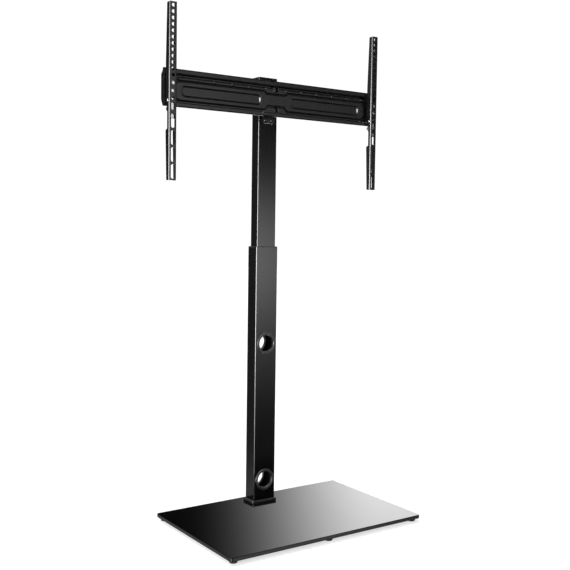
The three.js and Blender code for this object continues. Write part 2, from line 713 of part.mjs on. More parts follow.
function makePivotNut() {
  const top = earLevels().outer[0] - film;
  const solid = rod(pivot.nutRadius, top - pivot.nutHeight, top, 'z', hexSides)
    .subtract(rod(pivot.radius + film, top - pivot.nutHeight - overrun, top + overrun, 'z'));
  return meshOf('pivot_nut', solid, finishes.zinc);
}

function makeFrictionWasher(name, bottom) {
  const top = bottom + ear.washerThickness;
  const solid = rod(ear.tipRadius - film, bottom, top, 'z')
    .subtract(rod(pivot.radius + film, bottom - overrun, top + overrun, 'z'));
  return meshOf(name, solid, finishes.nylon);
}

// Web behind the wall plate, with weld nuts for the hub bolts and two ears round the pivot
function makeSwivelBracket() {
  const webFront = plateRearY + film - pivotY;
  const webRear = webFront + swivelWeb.thickness;
  const webTop = plateTop - railGroove.top + swivelWeb.edgeMargin;
  const webBottom = lowerHubZ - hubBolt.nutRadius - swivelWeb.edgeMargin;
  const web = roundedRect(2 * swivelWeb.halfWidth, webTop - webBottom, swivelWeb.corner);
  let solid = pulledForward(web, webRear, webFront).translate([0, 0, (webTop + webBottom) / 2]);
  earLevels().inner.forEach((level) => {
    solid = solid.add(earSolid(swivelWeb.earRoot, webRear - film, level));
  });
  [upperHubZ, lowerHubZ].forEach((height) => {
    const nut = rod(hubBolt.nutRadius, webRear - film, webRear + hubBolt.nutHeight, 'y', hexSides);
    const bore = rod(hubBolt.radius + film, webFront - overrun, webRear + hubBolt.nutHeight + overrun, 'y');
    solid = solid.add(nut.translate([0, 0, height])).subtract(bore.translate([0, 0, height]));
  });
  return meshOf('swivel_bracket', withPivotBore(solid), finishes.powderCoat);
}

function makeHubBolt(name) {
  const seat = plateRearY - plate.sheet - film - pivotY;
  const front = seat - hubBolt.headHeight;
  const tip = plateRearY + film + swivelWeb.thickness + hubBolt.nutHeight - pivotY;
  const solid = rod(hubBolt.radius, seat - film, tip, 'y')
    .add(rod(hubBolt.headRadius, front, seat, 'y'))
    .subtract(rod(hexKey.acrossCorners / 2, front - overrun, front + hubBolt.headHeight / 2, 'y', hexSides));
  return meshOf(name, solid, finishes.zinc);
}

// Wall plate. Local axes: X along the plate, Y to the rear from the rear plane, Z up from the top edge.

function plateSection() {
  const half = plate.sheet / 2;
  const front = plate.lipForward - half;
  const fold = front - lip.fold + plate.sheet;
  const rear = half;
  const line = [
    [front, lip.frontDrop],
    [front, half],
    [fold, half],
    [fold, railGroove.top - half],
    [rear, railGroove.top - half],
    [rear, railGroove.bottom - half],
    [rail.forward - half, railGroove.bottom - half],
    [rail.forward - half, rail.bottom],
    [backForward - half, rail.bottom],
    [backForward - half, plate.height - half],
    [front, plate.height - half],
    [front, plate.height - bottomLip.rise],
  ];
  return softened(line, plate.bend, 2, false).map(([forward, drop]) => [-forward, -drop]);
}

// Flange folded back from the bottom of the plate, which stiffens the foot of the sheet
function returnSection() {
  const half = plate.sheet / 2;
  const start = backForward - half;
  const line = [
    [start, plate.height - half],
    [half, plate.height - returnFlange.slope],
    [half, plate.height - returnFlange.slope - returnFlange.height],
  ];
  return softened(line, plate.bend, 2, false).map(([forward, drop]) => [-forward, -drop]);
}

// The hub tabs pinch the main panel: an upper one hangs from the rail, a lower one stands on the bead
function hubTabOutline(baseDrop, tipDrop, margin) {
  const side = Math.sign(tipDrop - baseDrop);
  return polygon([
    [-hubTab.baseHalf - margin, -baseDrop],
    [-hubTab.tipHalf - margin, -(tipDrop + side * margin)],
    [hubTab.tipHalf + margin, -(tipDrop + side * margin)],
    [hubTab.baseHalf + margin, -baseDrop],
  ]);
}

function panelOutline(inset) {
  const height = panel.bottom - panel.top - 2 * inset;
  return roundedRect(2 * (panel.half - inset), height, panel.endRadius - inset);
}

// A raised panel pressed out of the back sheet: a solid block, and the hollow behind it
function pressedPanel(inset, rearForward, frontForward) {
  const middle = -(panel.top + panel.bottom) / 2;
  const block = pulledForward(panelOutline(inset), -rearForward, -frontForward, 2 * cornerSteps);
  const upper = hubTabOutline(panel.top - overrun, upperTabTip, hubTab.margin + inset);
  const lower = hubTabOutline(panel.bottom + overrun, lowerTabTip, hubTab.margin + inset);
  return block.translate([0, 0, middle])
    .subtract(pulledForward(upper, -rearForward + overrun, -frontForward - overrun))
    .subtract(pulledForward(lower, -rearForward + overrun, -frontForward - overrun));
}

function padPrism(sign, grow, rearForward, frontForward) {
  const width = padOuter - pad.inner + 2 * grow;
  const outline = roundedRect(width, padBottom - padTop + 2 * grow, pad.corner + grow);
  const x = (sign * (padOuter + pad.inner)) / 2;
  return pulledForward(outline, -rearForward, -frontForward).translate([x, 0, -(padTop + padBottom) / 2]);
}

// Pad recess with sloping walls: straight-sided steps joined by a tapered block
function padRecess(sign) {
  const front = panel.forward;
  const floor = front - pad.depth;
  const outline = roundedRect(
    padOuter - pad.inner - 2 * pad.draft, padBottom - padTop - 2 * pad.draft, pad.corner - pad.draft,
  );
  const taper = new THREE.ExtrudeGeometry(outline, {
    depth: overrun,
    bevelEnabled: true,
    bevelThickness: pad.depth,
    bevelSize: pad.draft,
    bevelSegments: 1,
    curveSegments: halfOf(cornerSteps),
  });
  const turn = new THREE.Matrix4().makeBasis(
    new THREE.Vector3(1, 0, 0), new THREE.Vector3(0, 0, 1), new THREE.Vector3(0, -1, 0),
  );
  const x = (sign * (padOuter + pad.inner)) / 2;
  const z = -(padTop + padBottom) / 2;
  return solidOf(taper.applyMatrix4(turn)).translate([x, -front - pad.depth, z])
    .intersect(padPrism(sign, overrun, floor, front + overrun));
}

// Deep cup round a hub bolt, closed at the rear but for the bolt hole
function hubCups(solid) {
  let result = solid;
  const holeRadius = hubBolt.radius + hubCup.boltClearance;
  Object.values(hubDrops).forEach((drop) => {
    const outer = rod(hubCup.innerRadius + hubCup.wall, -panel.forward + film, 0, 'y', roundSides);
    const inner = rod(hubCup.innerRadius, -plate.lipForward, -plate.sheet, 'y', roundSides);
    const hole = rod(holeRadius, -plate.lipForward, overrun, 'y');
    result = result.add(outer.translate([0, 0, -drop]))
      .subtract(inner.translate([0, 0, -drop]))
      .subtract(hole.translate([0, 0, -drop]));
  });
  return result;
}

function railDimples(solid) {
  let result = solid;
  const drop = (railGroove.bottom + rail.bottom) / 2;
  const face = -rail.forward;
  const pitch = (plate.halfLength - dimple.endMargin - dimple.first) / (dimple.rows - 1);
  for (let row = 0; row < dimple.rows; row += 1) {
    [-1, 1].forEach((side) => {
      const x = side * (dimple.first + pitch * row);
      const profile = [
        [0, face + film],
        [dimple.radius, face + film],
        [dimple.radius, face],
        [dimple.radius * dimple.crownShare, face - dimple.rise],
        [0, face - dimple.rise],
      ];
      result = result.add(turned(profile, 'y', hexSides).translate([x, 0, -drop]));
    });
  }
  return result;
}

function makeWallPlate() {
  const half = plate.halfLength;
  const sheet = plate.sheet;
  const middleForward = backForward - sheet / 2;
  const raised = panel.forward;
  const hollow = raised - sheet;
  let solid = pulledAlongX(polygon(sheetOutline(plateSection(), sheet)), -half, half)
    .add(pulledAlongX(polygon(sheetOutline(returnSection(), sheet)), -half, half));
  solid = solid.add(pressedPanel(0, middleForward, raised))
    .subtract(pressedPanel(sheet, backForward - sheet - overrun, hollow));
  [-1, 1].forEach((sign) => {
    solid = solid.add(padPrism(sign, sheet, raised - pad.depth - sheet, raised - overrun))
      .subtract(padRecess(sign));
  });
  const tabFront = -rail.forward;
  const tabs = [
    hubTabOutline(rail.bottom - overrun, upperTabTip, 0),
    hubTabOutline(plate.height - bottomLip.rise - overrun, lowerTabTip, 0),
  ];
  tabs.forEach((outline) => {
    solid = solid.add(pulledForward(outline, -middleForward, tabFront));
  });
  const beadOutline = roundedRect(2 * (plate.halfLength - bead.endMargin), bead.height, bead.height / 2);
  solid = solid.add(
    pulledForward(beadOutline, -middleForward, -backForward - bead.rise)
      .translate([0, 0, bead.height / 2 - beadBottom]),
  );
  solid = railDimples(hubCups(solid));
  return meshOf('wall_plate', solid, finishes.powderCoat);
}

// Moulded cap that closes one end of the plate, with a plug behind the back sheet
function makeEndCap(name, side) {
  const inner = plate.halfLength + film;
  const outer = inner + endCap.thickness;
  const front = plate.lipForward;
  const nose = front - lip.fold;
  const outline = softened([
    [-front, 0],
    [-nose, 0],
    [-nose + endCap.plugGap, -endCap.noseDrop - endCap.plugGap],
    [0, -endCap.rearTop],
    [0, -capRearBottom],
    [-nose / 2, -(capRearBottom + plate.height) / 2],
    [-nose, -plate.height],
    [-front, -plate.height],
  ], plate.bend, 2, true);
  const plugFront = backForward - plate.sheet - film;
  const plugRear = plate.sheet + film;
  const plug = polygon([
    [-plugFront, -railGroove.bottom - endCap.plugGap],
    [-plugRear, -railGroove.bottom - endCap.plugGap],
    [-plugRear, -capRearBottom + returnFlange.height + endCap.plugGap],
    [-plugFront, -capRearBottom + returnFlange.height + endCap.plugGap],
  ]);
  let solid = pulledAlongX(polygon(outline), inner, outer)
    .add(pulledAlongX(plug, inner - endCap.plug, inner + film));
  if (side < 0) {
    solid = solid.mirror([1, 0, 0]);
  }
  return meshOf(name, solid, finishes.blackPlastic);
}

// Arms. Local axes: Y behind the arm's face, Z below the arm's top (negative).

// Side outline of a flange down its rear edge, with the hook finger that hangs in the lip of the plate
function flangeOutline() {
  const plateDrop = arm.topAbovePlate;
  const lipFace = plateFrontY - armFaceY;
  const lipInside = lipFace + plate.sheet;
  const fingerFront = lipInside + hook.reachGap;
  const fingerRear = lipFace + lip.fold - plate.sheet - hook.backGap;
  const fingerFoot = plateDrop + railGroove.bottom - plate.sheet - hook.seatGap;
  const fingerHead = plateDrop + hook.fingerTop;
  const neckTop = plateDrop + lip.frontDrop + hook.reachGap;
  const cutFrom = plateDrop + plate.height;
  const cutTo = cutFrom + flange.cutLength;
  const rear = [
    [flange.top, 0],
    [flangeDeep, plateDrop - flange.deepAbovePlate],
    [flangeDeep, neckTop],
    [fingerFront, neckTop],
    [fingerFront, fingerHead],
    [fingerRear, fingerHead],
    [fingerRear, fingerFoot],
    [flangeDeep, fingerFoot],
    [flangeDeep, cutFrom - flange.ease],
    [flange.shallow, cutFrom],
    [flange.shallow, cutTo - flange.ease / 2],
    [flangeDeep, cutTo],
    [flangeDeep, cutTo + flange.neck],
    [flange.bottom, arm.length],
  ];
  return polygon([[0, 0], [0, -arm.length], ...rear.reverse().map(([y, drop]) => [y, -drop])]);
}

function slotOutline(radius, length) {
  return roundedRect(2 * radius, length, radius);
}

// Round holes from the top down to the spring's rivet, two more under it, then slots to the foot of the arm
function armFaceCuts() {
  const cuts = [];
  const holePitch = (rivetDrop - armHole.lastAboveRivet - armHole.first) / (armHole.count - 1);
  for (let i = 0; i < armHole.count; i += 1) {
    cuts.push({ middle: armHole.first + i * holePitch, length: 2 * armHole.radius });
  }
  [0, belowRivet.middleHole, belowRivet.lowerHole].forEach((drop) => {
    cuts.push({ middle: rivetDrop + drop, length: 2 * armHole.radius });
  });
  cuts.push({
    middle: rivetDrop + belowRivet.shortSlot + belowRivet.shortSlotLength / 2,
    length: belowRivet.shortSlotLength,
  });
  const firstSlot = rivetDrop + belowRivet.longSlots;
  const slotPitch = (arm.length - armSlots.endMargin + armSlots.bridge - firstSlot) / armSlots.count;
  const slotLength = slotPitch - armSlots.bridge;
  for (let i = 0; i < armSlots.count; i += 1) {
    cuts.push({ middle: firstSlot + i * slotPitch + slotLength / 2, length: slotLength });
  }
  return cuts;
}

// The sheet folded into a channel, open to the rear, deeper than any flange
function foldedChannel() {
  const reach = plateRearY - armFaceY;
  const past = -arm.length - overrun;
  const outline = roundedRect(2 * arm.halfWidth, 2 * reach, arm.fold);
  const hollow = roundedRect(2 * (arm.halfWidth - arm.wall), 2 * reach, arm.fold - arm.wall);
  const inside = pulledUp(hollow, past - overrun, 2 * overrun).translate([0, reach + arm.wall, 0]);
  return pulledUp(outline, past, overrun).translate([0, reach, 0]).subtract(inside);
}

function makeArm(name) {
  const rearmost = plateRearY - armFaceY;
  const roundedFace = pulledForward(
    roundedRect(2 * arm.halfWidth, arm.length, arm.corner), rearmost, 0,
  ).translate([0, 0, -arm.length / 2]);
  let solid = foldedChannel()
    .intersect(pulledAlongX(flangeOutline(), -arm.halfWidth - overrun, arm.halfWidth + overrun))
    .intersect(roundedFace);
  armFaceCuts().forEach(({ middle, length }) => {
    const cut = pulledForward(slotOutline(armHole.radius, length), arm.wall + overrun, -overrun, holeSteps);
    solid = solid.subtract(cut.translate([0, 0, -middle]));
  });
  const pinHole = rod(latchPin.radius + film, -arm.halfWidth - overrun, arm.halfWidth + overrun, 'x');
  solid = solid.subtract(pinHole.translate([0, latch.pivotBehindFace, latchPivotZ - armTop]));
  return meshOf(name, solid, finishes.powderCoat);
}

// Latch. Local axes are centred on its pivot.
function makeLatch(name) {
  const lipEdge = plateFoot + bottomLip.rise - latchPivotZ;
  const bridgeFoot = lipEdge + catchFinger.gap;
  const bridgeTop = bridgeFoot + catchFinger.thickness;
  const shoulder = plateFrontY - latchPivotY - latch.clearance;
  const fingerFront = plateFrontY - latchPivotY + plate.sheet + catchFinger.lipGap;
  const fingerRear = plateFrontY - latchPivotY + backSheet.behindLip - catchFinger.rearGap;
  const line = [
    [-latchBody.front, latchBody.headRise],
    [latchBody.headRear, latchBody.headRise],
    [shoulder, bridgeTop],
    [fingerRear, bridgeTop],
    [fingerRear, bridgeFoot - catchFinger.drop],
    [fingerFront, bridgeFoot - catchFinger.drop],
    [fingerFront, bridgeFoot],
    [shoulder, bridgeFoot],
    [latchBody.headRear, bridgeFoot - catchFinger.drop],
    [latchBody.headRear, -latchBody.noseTop + catchFinger.drop],
    [latchBody.noseRear, -latchBody.noseTop],
    [latchBody.noseRear, -latchBody.noseTop - latchBody.noseLength / 2],
    [latchBody.headRear, -latchBody.noseTop - latchBody.noseLength],
    [0, -latchBody.tail],
    [-latchBody.front, -latchBody.tail],
  ];
  const half = arm.halfWidth - arm.wall - film;
  const outline = polygon(line);
  const hollow = polygon([
    [-latchBody.front + latch.wall, latchBody.headRise + overrun],
    [fingerRear + overrun, latchBody.headRise + overrun],
    [fingerRear + overrun, -latchBody.tail - overrun],
    [-latchBody.front + latch.wall, -latchBody.tail - overrun],
  ]);
  const cheek = half - latch.wall;
  const solid = pulledAlongX(outline, -half, half)
    .subtract(pulledAlongX(hollow, -cheek, cheek))
    .subtract(rod(latchPin.radius + film, -half - overrun, half + overrun, 'x'));
  return meshOf(name, solid, finishes.zinc);
}

function makeLatchPin(name) {
  const face = arm.halfWidth + film;
  const end = face + latchPin.headHeight;
  const profile = [
    [0, -end],
    [latchPin.headRadius - latchPin.headHeight / 2, -end],
    [latchPin.headRadius, -face - latchPin.headHeight / 2],
    [latchPin.headRadius, -face],
    [latchPin.radius, -face],
    [latchPin.radius, face],
    [latchPin.headRadius, face],
    [latchPin.headRadius, face + latchPin.headHeight / 2],
    [latchPin.headRadius - latchPin.headHeight / 2, end],
    [0, end],
  ];
  return meshOf(name, turned(profile, 'x', boltSides), finishes.zinc);
}

// Leaf that presses the latch home, riveted to the arm at the first hole below the plate's rail
function makeLatchSpring(name) {
  const top = rivetDrop - armHole.radius - leaf.topMargin;
  const bottom = armTop - latchPivotZ - latchBody.headRise - leaf.headroom;
  const near = arm.wall + film + leaf.thickness / 2;
  const line = [
    [near, -top],
    [near, -bottom + leaf.kickLength],
    [near + leaf.kick, -bottom],
  ];
  const strip = sheetOutline(softened(line, leaf.kickLength / 2, 3, false), leaf.thickness);
  const hole = rod(leafRivet.neckRadius + film, 0, near + leaf.kick, 'y').translate([0, 0, -rivetDrop]);
  const solid = pulledAlongX(polygon(strip), -leaf.halfWidth, leaf.halfWidth).subtract(hole);
  return meshOf(name, solid, finishes.zinc);
}

function makeSpringRivet(name) {
  const shankEnd = arm.wall + film / 2;
  const leafBack = arm.wall + film + leaf.thickness;
  const profile = [
    [0, film],
    [armHole.radius - film, film],
    [armHole.radius - film, shankEnd],
    [leafRivet.neckRadius, shankEnd],
    [leafRivet.neckRadius, leafBack + film],
    [leafRivet.headRadius, leafBack + film],
    [leafRivet.headRadius, leafBack + film + leafRivet.headHeight / 2],
    [leafRivet.headRadius - leafRivet.headHeight / 2, leafBack + film + leafRivet.headHeight],
    [0, leafBack + film + leafRivet.headHeight],
  ];
  return meshOf(name, turned(profile, 'y', boltSides), finishes.zinc);
}

function makeArmSet(side, x) {
  const group = new THREE.Group();
  group.add(makeArm(`${side}_arm`));
  group.add(placed(makeLatch(`${side}_latch`), 0, latch.pivotBehindFace, latchPivotZ - armTop));
  group.add(placed(makeLatchPin(`${side}_latch_pin`), 0, latch.pivotBehindFace, latchPivotZ - armTop));
  group.add(makeLatchSpring(`${side}_latch_spring`));
  group.add(placed(makeSpringRivet(`${side}_spring_rivet`), 0, 0, -rivetDrop));
  group.position.set(x, armFaceY, armTop);
  return group;
}

// Assembly

function makeBase() {
  const group = new THREE.Group();
  group.add(placed(makeGlass(), 0, 0, foot.height));
  group.add(makeFeet());
  const clamp = makeClampStack();
  clamp.position.y = columnY;
  group.add(clamp);
  const column = new THREE.Group();
  column.position.set(0, columnY, glassTop);
  column.add(placed(makePlinth(), 0, 0, film));
  column.add(makeLowerColumn());
  column.add(makeGrommets());
  column.add(makeGuideSleeve());
  Object.entries(clampBoltHeights()).forEach(([level, height]) => {
    column.add(placed(makeClampBolt(`clamp_bolt_${level}`), 0, 0, height - glassTop));
  });
  group.add(column);
  return group;
}

function makeMast() {
  const group = new THREE.Group();
  const tube = new THREE.Group();
  tube.position.set(0, columnY, upperFoot);
  tube.add(makeUpperColumn());
  tube.add(makeTopCap());
  tube.add(makeGlide());
  group.add(tube);
  const levels = earLevels();
  const hinge = new THREE.Group();
  hinge.position.set(0, pivotY, 0);
  hinge.add(makeColumnBracket());
  bracketScrewPlaces().forEach(({ name, x, z }) => {
    hinge.add(placed(makeBracketScrew(`bracket_screw_${name}`), x, 0, z));
  });
  hinge.add(makePivotBolt());
  hinge.add(makePivotNut());
  hinge.add(makeFrictionWasher('lower_friction_washer', levels.washer[0]));
  hinge.add(makeFrictionWasher('upper_friction_washer', levels.washer[1]));
  group.add(hinge);
  return group;
}

function makeHead() {
  const group = new THREE.Group();
  const hinge = new THREE.Group();
  hinge.position.set(0, pivotY, 0);
  hinge.add(makeSwivelBracket());
  hinge.add(placed(makeHubBolt('hub_bolt_upper'), 0, 0, upperHubZ));
  hinge.add(placed(makeHubBolt('hub_bolt_lower'), 0, 0, lowerHubZ));
  group.add(hinge);
  const plateGroup = new THREE.Group();
  plateGroup.position.set(0, plateRearY, plateTop);
  plateGroup.add(makeWallPlate());
  plateGroup.add(makeEndCap('plate_end_cap_left', -1));
  plateGroup.add(makeEndCap('plate_end_cap_right', 1));
  group.add(plateGroup);
  group.add(makeArmSet('left', -armSpread));
  group.add(makeArmSet('right', armSpread));
  return group;
}

const stand = new THREE.Group();
stand.name = 'television_floor_stand';
stand.add(makeBase());
stand.add(makeMast());
stand.add(makeHead());

export default stand;
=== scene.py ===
"""Looks of a television floor stand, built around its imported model.

Metres, +Z up, the front faces -Y. Levels of the wall plate and of the arms are given as on a workshop
drawing: forward from the rear plane of the plate, or behind the face of an arm, and down from the top edge.
"""

import json
import logging
import math
from dataclasses import dataclass, field
from enum import Enum
from typing import Iterable, Mapping, Optional, Sequence

import bmesh
import bpy
import numpy as np
from mathutils import Matrix, Vector


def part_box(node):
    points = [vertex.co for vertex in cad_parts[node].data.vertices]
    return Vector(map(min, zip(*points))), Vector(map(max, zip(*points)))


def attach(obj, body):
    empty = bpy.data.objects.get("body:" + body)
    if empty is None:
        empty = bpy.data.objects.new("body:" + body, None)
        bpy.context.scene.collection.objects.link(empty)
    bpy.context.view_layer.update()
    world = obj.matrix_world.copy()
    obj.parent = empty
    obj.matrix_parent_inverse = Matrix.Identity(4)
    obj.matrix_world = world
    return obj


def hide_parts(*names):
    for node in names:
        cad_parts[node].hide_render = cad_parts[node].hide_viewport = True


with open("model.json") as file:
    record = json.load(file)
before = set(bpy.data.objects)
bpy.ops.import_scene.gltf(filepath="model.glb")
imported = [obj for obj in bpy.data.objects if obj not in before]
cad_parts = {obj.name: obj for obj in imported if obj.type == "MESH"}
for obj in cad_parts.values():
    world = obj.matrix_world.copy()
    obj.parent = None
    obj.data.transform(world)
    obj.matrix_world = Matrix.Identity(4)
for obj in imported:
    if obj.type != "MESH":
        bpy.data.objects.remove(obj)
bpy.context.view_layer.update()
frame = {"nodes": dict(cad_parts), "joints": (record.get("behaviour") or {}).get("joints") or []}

LOG = logging.getLogger("stand")
MM = 0.001
FILM = 0.3 * MM  # play round a piece that sits in another
PAST = 1 * MM  # how far a cutter runs past its blank, or a joined part into it
WELD = 0.002 * MM  # points nearer to each other than this become one
HEX = 6  # sides of a nut and of a socket
ORIGIN = Vector((0, 0, 0))

Point2 = tuple[float, float]


class Axis(Enum):
    """Direction along which an outline is pulled or a profile is turned."""

    X = 0
    Y = 1
    Z = 2

    def point(self, u: float, v: float, along: float) -> Vector:
        """Gives the point at (u, v) across this axis and at a distance along it.

        Args:
            u: First place across the axis.
            v: Second place across the axis.
            along: Distance along the axis.

        Returns:
            The point.
        """
        parts = [u, v]
        parts.insert(self.value, along)
        return Vector(parts)


class Body(Enum):
    """Moving bodies of the stand."""

    BASE = "base"
    MAST = "mast"
    HEAD = "head"
    LEFT_ARM = "left_arm"
    RIGHT_ARM = "right_arm"
    LEFT_LATCH = "left_latch"
    RIGHT_LATCH = "right_latch"


class Cut(Enum):
    """Boolean steps used on the blanks."""

    TAKE = "DIFFERENCE"
    JOIN = "UNION"
    KEEP = "INTERSECT"


# Outlines and meshes


def link(name: str, mesh: bpy.types.Mesh) -> bpy.types.Object:
    """Puts a mesh in the scene.

    Args:
        name: Name of the object.
        mesh: Its mesh.

    Returns:
        The new object.
    """
    made = bpy.data.objects.new(name, mesh)
    bpy.context.scene.collection.objects.link(made)
    return made


def from_bmesh(name: str, shape: bmesh.types.BMesh) -> bpy.types.Object:
    """Turns a bmesh into an object with its faces outward.

    Args:
        name: Name of the object.
        shape: The mesh, which is freed.

    Returns:
        The new object.
    """
    bmesh.ops.recalc_face_normals(shape, faces=shape.faces)
    mesh = bpy.data.meshes.new(name)
    shape.to_mesh(mesh)
    shape.free()
    return link(name, mesh)


def arc(centre: Point2, radius: float, start: float, end: float, steps: int) -> list[Point2]:
    """Lists points on an arc, angles in degrees."""
    angles = [math.radians(start + (end - start) * k / steps) for k in range(steps + 1)]
    return [(centre[0] + radius * math.cos(a), centre[1] + radius * math.sin(a)) for a in angles]


def rounded_rect(width: float, height: float, corner: float, centre: Point2 = (0, 0),
                 steps: int = 8) -> list[Point2]:
    """Gives a rectangle with round corners.

    Args:
        width: Size along the first direction.
        height: Size along the second direction.
        corner: Corner radius.
        centre: Middle of the rectangle.
        steps: Facets in each corner.

    Returns:
        The outline, counter-clockwise.
    """
    reach_u = width / 2 - corner
    reach_v = height / 2 - corner
    points: list[Point2] = []
    for quarter, (sign_u, sign_v) in enumerate([(1, 1), (-1, 1), (-1, -1), (1, -1)]):
        middle = (centre[0] + sign_u * reach_u, centre[1] + sign_v * reach_v)
        points += arc(middle, corner, 90 * quarter, 90 * (quarter + 1), steps)
    return points


def softened(points: Sequence[Point2], radius: float, steps: int = 5, closed: bool = True) -> list[Point2]:
    """Rounds the corners of a line with true arcs, as bends in sheet.

    Args:
        points: Corners of the line.
        radius: Radius of each arc, less where a side is short.
        steps: Facets in each arc.
        closed: Whether the last point joins the first.

    Returns:
        The line with its corners rounded.
    """
    longest = 0.49  # share of a side that one arc may take up
    result: list[Point2] = []
    count = len(points)
    for i, corner in enumerate(points):
        if not closed and i in (0, count - 1):
            result.append(corner)
            continue
        here = Vector(corner)
        back = Vector(points[i - 1]) - here
        ahead = Vector(points[(i + 1) % count]) - here
        half = back.angle(ahead) / 2
        room = longest * min(back.length, ahead.length)
        reach = min(radius / math.tan(half), room)
        start = here + back.normalized() * reach
        end = here + ahead.normalized() * reach
        middle = here + (back.normalized() + ahead.normalized()).normalized() * (reach / math.cos(half))
        first, last = start - middle, end - middle
        turn = first.angle_signed(last, 0.0)
        for k in range(steps + 1):
            spin = Matrix.Rotation(-turn * k / steps, 2)
            result.append(tuple(middle + spin @ first))
    return result


def strip(points: Sequence[Point2], thickness: float) -> list[Point2]:
    """Gives a line of sheet its thickness, half to each side.

    Args:
        points: The middle line of the sheet.
        thickness: Sheet thickness.

    Returns:
        The closed outline of the sheet.
    """
    least_spread = 0.3  # keeps the outside of a sharp corner from shooting out
    left: list[Point2] = []
    right: list[Point2] = []
    for i, point in enumerate(points):
        here = Vector(point)
        before = (here - Vector(points[i - 1])).normalized() if i else None
        after = (Vector(points[i + 1]) - here).normalized() if i < len(points) - 1 else None
        along = ((before or after) + (after or before)).normalized()
        spread = along.dot(before) if before and after else 1
        side = Vector((-along.y, along.x)) * (thickness / 2 / max(spread, least_spread))
        left.append(tuple(here + side))
        right.append(tuple(here - side))
    return left + right[::-1]


def prism(name: str, outline: Sequence[Point2], axis: Axis, start: float, end: float) -> bpy.types.Object:
    """Pulls an outline along an axis into a closed solid.

    Args:
        name: Name of the object.
        outline: Points across the axis.
        axis: Direction of the pull.
        start: Where the solid starts.
        end: Where it ends.

    Returns:
        The solid.
    """
    shape = bmesh.new()
    near = [shape.verts.new(axis.point(u, v, start)) for u, v in outline]
    far = [shape.verts.new(axis.point(u, v, end)) for u, v in outline]
    shape.faces.new(near)
    shape.faces.new(far)
    for i in range(len(outline)):
        k = (i + 1) % len(outline)
        shape.faces.new((near[i], near[k], far[k], far[i]))
    return from_bmesh(name, shape)


def turned(name: str, profile: Sequence[Point2], axis: Axis, sides: int = 96,
           centre: Vector = ORIGIN) -> bpy.types.Object:
    """Turns a profile about an axis into a closed solid.

    Args:
        name: Name of the object.
        profile: (radius, distance along the axis) points. It ends on the axis or closes on itself.
        axis: The axis of the lathe.
        sides: Facets round the axis.
        centre: A point on the axis, which distances are measured from.

    Returns:
        The solid.
    """
    shape = bmesh.new()
    rings: list[list[bmesh.types.BMVert]] = []
    for radius, along in profile:
        places = 1 if radius <= 0 else sides
        ring = []
        for k in range(places):
            a = 2 * math.pi * k / sides
            around = axis.point(radius * math.cos(a), radius * math.sin(a), along)
            ring.append(shape.verts.new(centre + around))
        rings.append(ring)
    open_ended = profile[0][0] <= 0 and profile[-1][0] <= 0
    pairs = list(zip(rings, rings[1:]))
    if not open_ended:
        pairs.append((rings[-1], rings[0]))
    for low, high in pairs:
        for k in range(sides):
            m = (k + 1) % sides
            corners = [low[k % len(low)], low[m % len(low)], high[m % len(high)], high[k % len(high)]]
            unique = list(dict.fromkeys(corners))
            if len(unique) > 2:
                shape.faces.new(unique)
    return from_bmesh(name, shape)


def rod(radius: float, start: float, end: float, axis: Axis, centre: Vector = ORIGIN,
        sides: int = 48) -> bpy.types.Object:
    """Makes a plain bar, used as a blank or as a drill."""
    return turned("rod", [(0, start), (radius, start), (radius, end), (0, end)], axis, sides, centre)


def applied(piece: bpy.types.Object) -> bpy.types.Object:
    """Works the live modifiers of a piece into its mesh and removes them.

    Args:
        piece: The object to settle.

    Returns:
        The same object, with a plain mesh.
    """
    bpy.context.view_layer.update()
    graph = bpy.context.evaluated_depsgraph_get()
    mesh = bpy.data.meshes.new_from_object(piece.evaluated_get(graph))
    piece.modifiers.clear()
    old = piece.data
    piece.data = mesh
    bpy.data.meshes.remove(old)
    return piece


def discard(piece: bpy.types.Object) -> None:
    """Removes a template or a cutter.

    Args:
        piece: The object, which is removed with its mesh.
    """
    mesh = piece.data
    bpy.data.objects.remove(piece)
    bpy.data.meshes.remove(mesh)


def worked(blank: bpy.types.Object, step: Cut, tools: Iterable[bpy.types.Object]) -> bpy.types.Object:
    """Cuts, joins or trims a blank by other solids, which are used up.

    Args:
        blank: The solid that is worked.
        step: What is done with each tool.
        tools: The solids that it is done with.

    Returns:
        The blank.
    """
    used = list(tools)
    for tool in used:
        modifier = blank.modifiers.new("work", "BOOLEAN")
        modifier.operation = step.value
        modifier.solver = "EXACT"
        modifier.object = tool
    applied(blank)
    for tool in used:
        discard(tool)
    shape = bmesh.new()
    shape.from_mesh(blank.data)
    bmesh.ops.remove_doubles(shape, verts=shape.verts, dist=WELD)
    bmesh.ops.dissolve_degenerate(shape, edges=shape.edges, dist=WELD)
    shape.to_mesh(blank.data)
    shape.free()
    return blank


def eased(piece: bpy.types.Object, width: float, segments: int = 2, angle: float = 32) -> bpy.types.Object:
    """Breaks the sharp edges of a piece with a small round.

    Args:
        piece: The piece.
        width: Size of the round.
        segments: Facets across it.
        angle: Edges that bend by more degrees than this are rounded.

    Returns:
        The piece.
    """
    bevel = piece.modifiers.new("edges", "BEVEL")
    bevel.width = width
    bevel.segments = segments
    bevel.limit_method = "ANGLE"
    bevel.angle_limit = math.radians(angle)
    bevel.use_clamp_overlap = True
    return applied(piece)


def shaded(piece: bpy.types.Object, angle: float = 38) -> bpy.types.Object:
    """Smooths the shading across all bends below an angle, with flat faces kept flat.

    Args:
        piece: The piece.
        angle: Sharper bends than this stay hard, in degrees.

    Returns:
        The piece.
    """
    piece.data.shade_smooth()
    piece.data.set_sharp_from_angle(angle=math.radians(angle))
    weighted = piece.modifiers.new("normals", "WEIGHTED_NORMAL")
    weighted.keep_sharp = True
    return applied(piece)


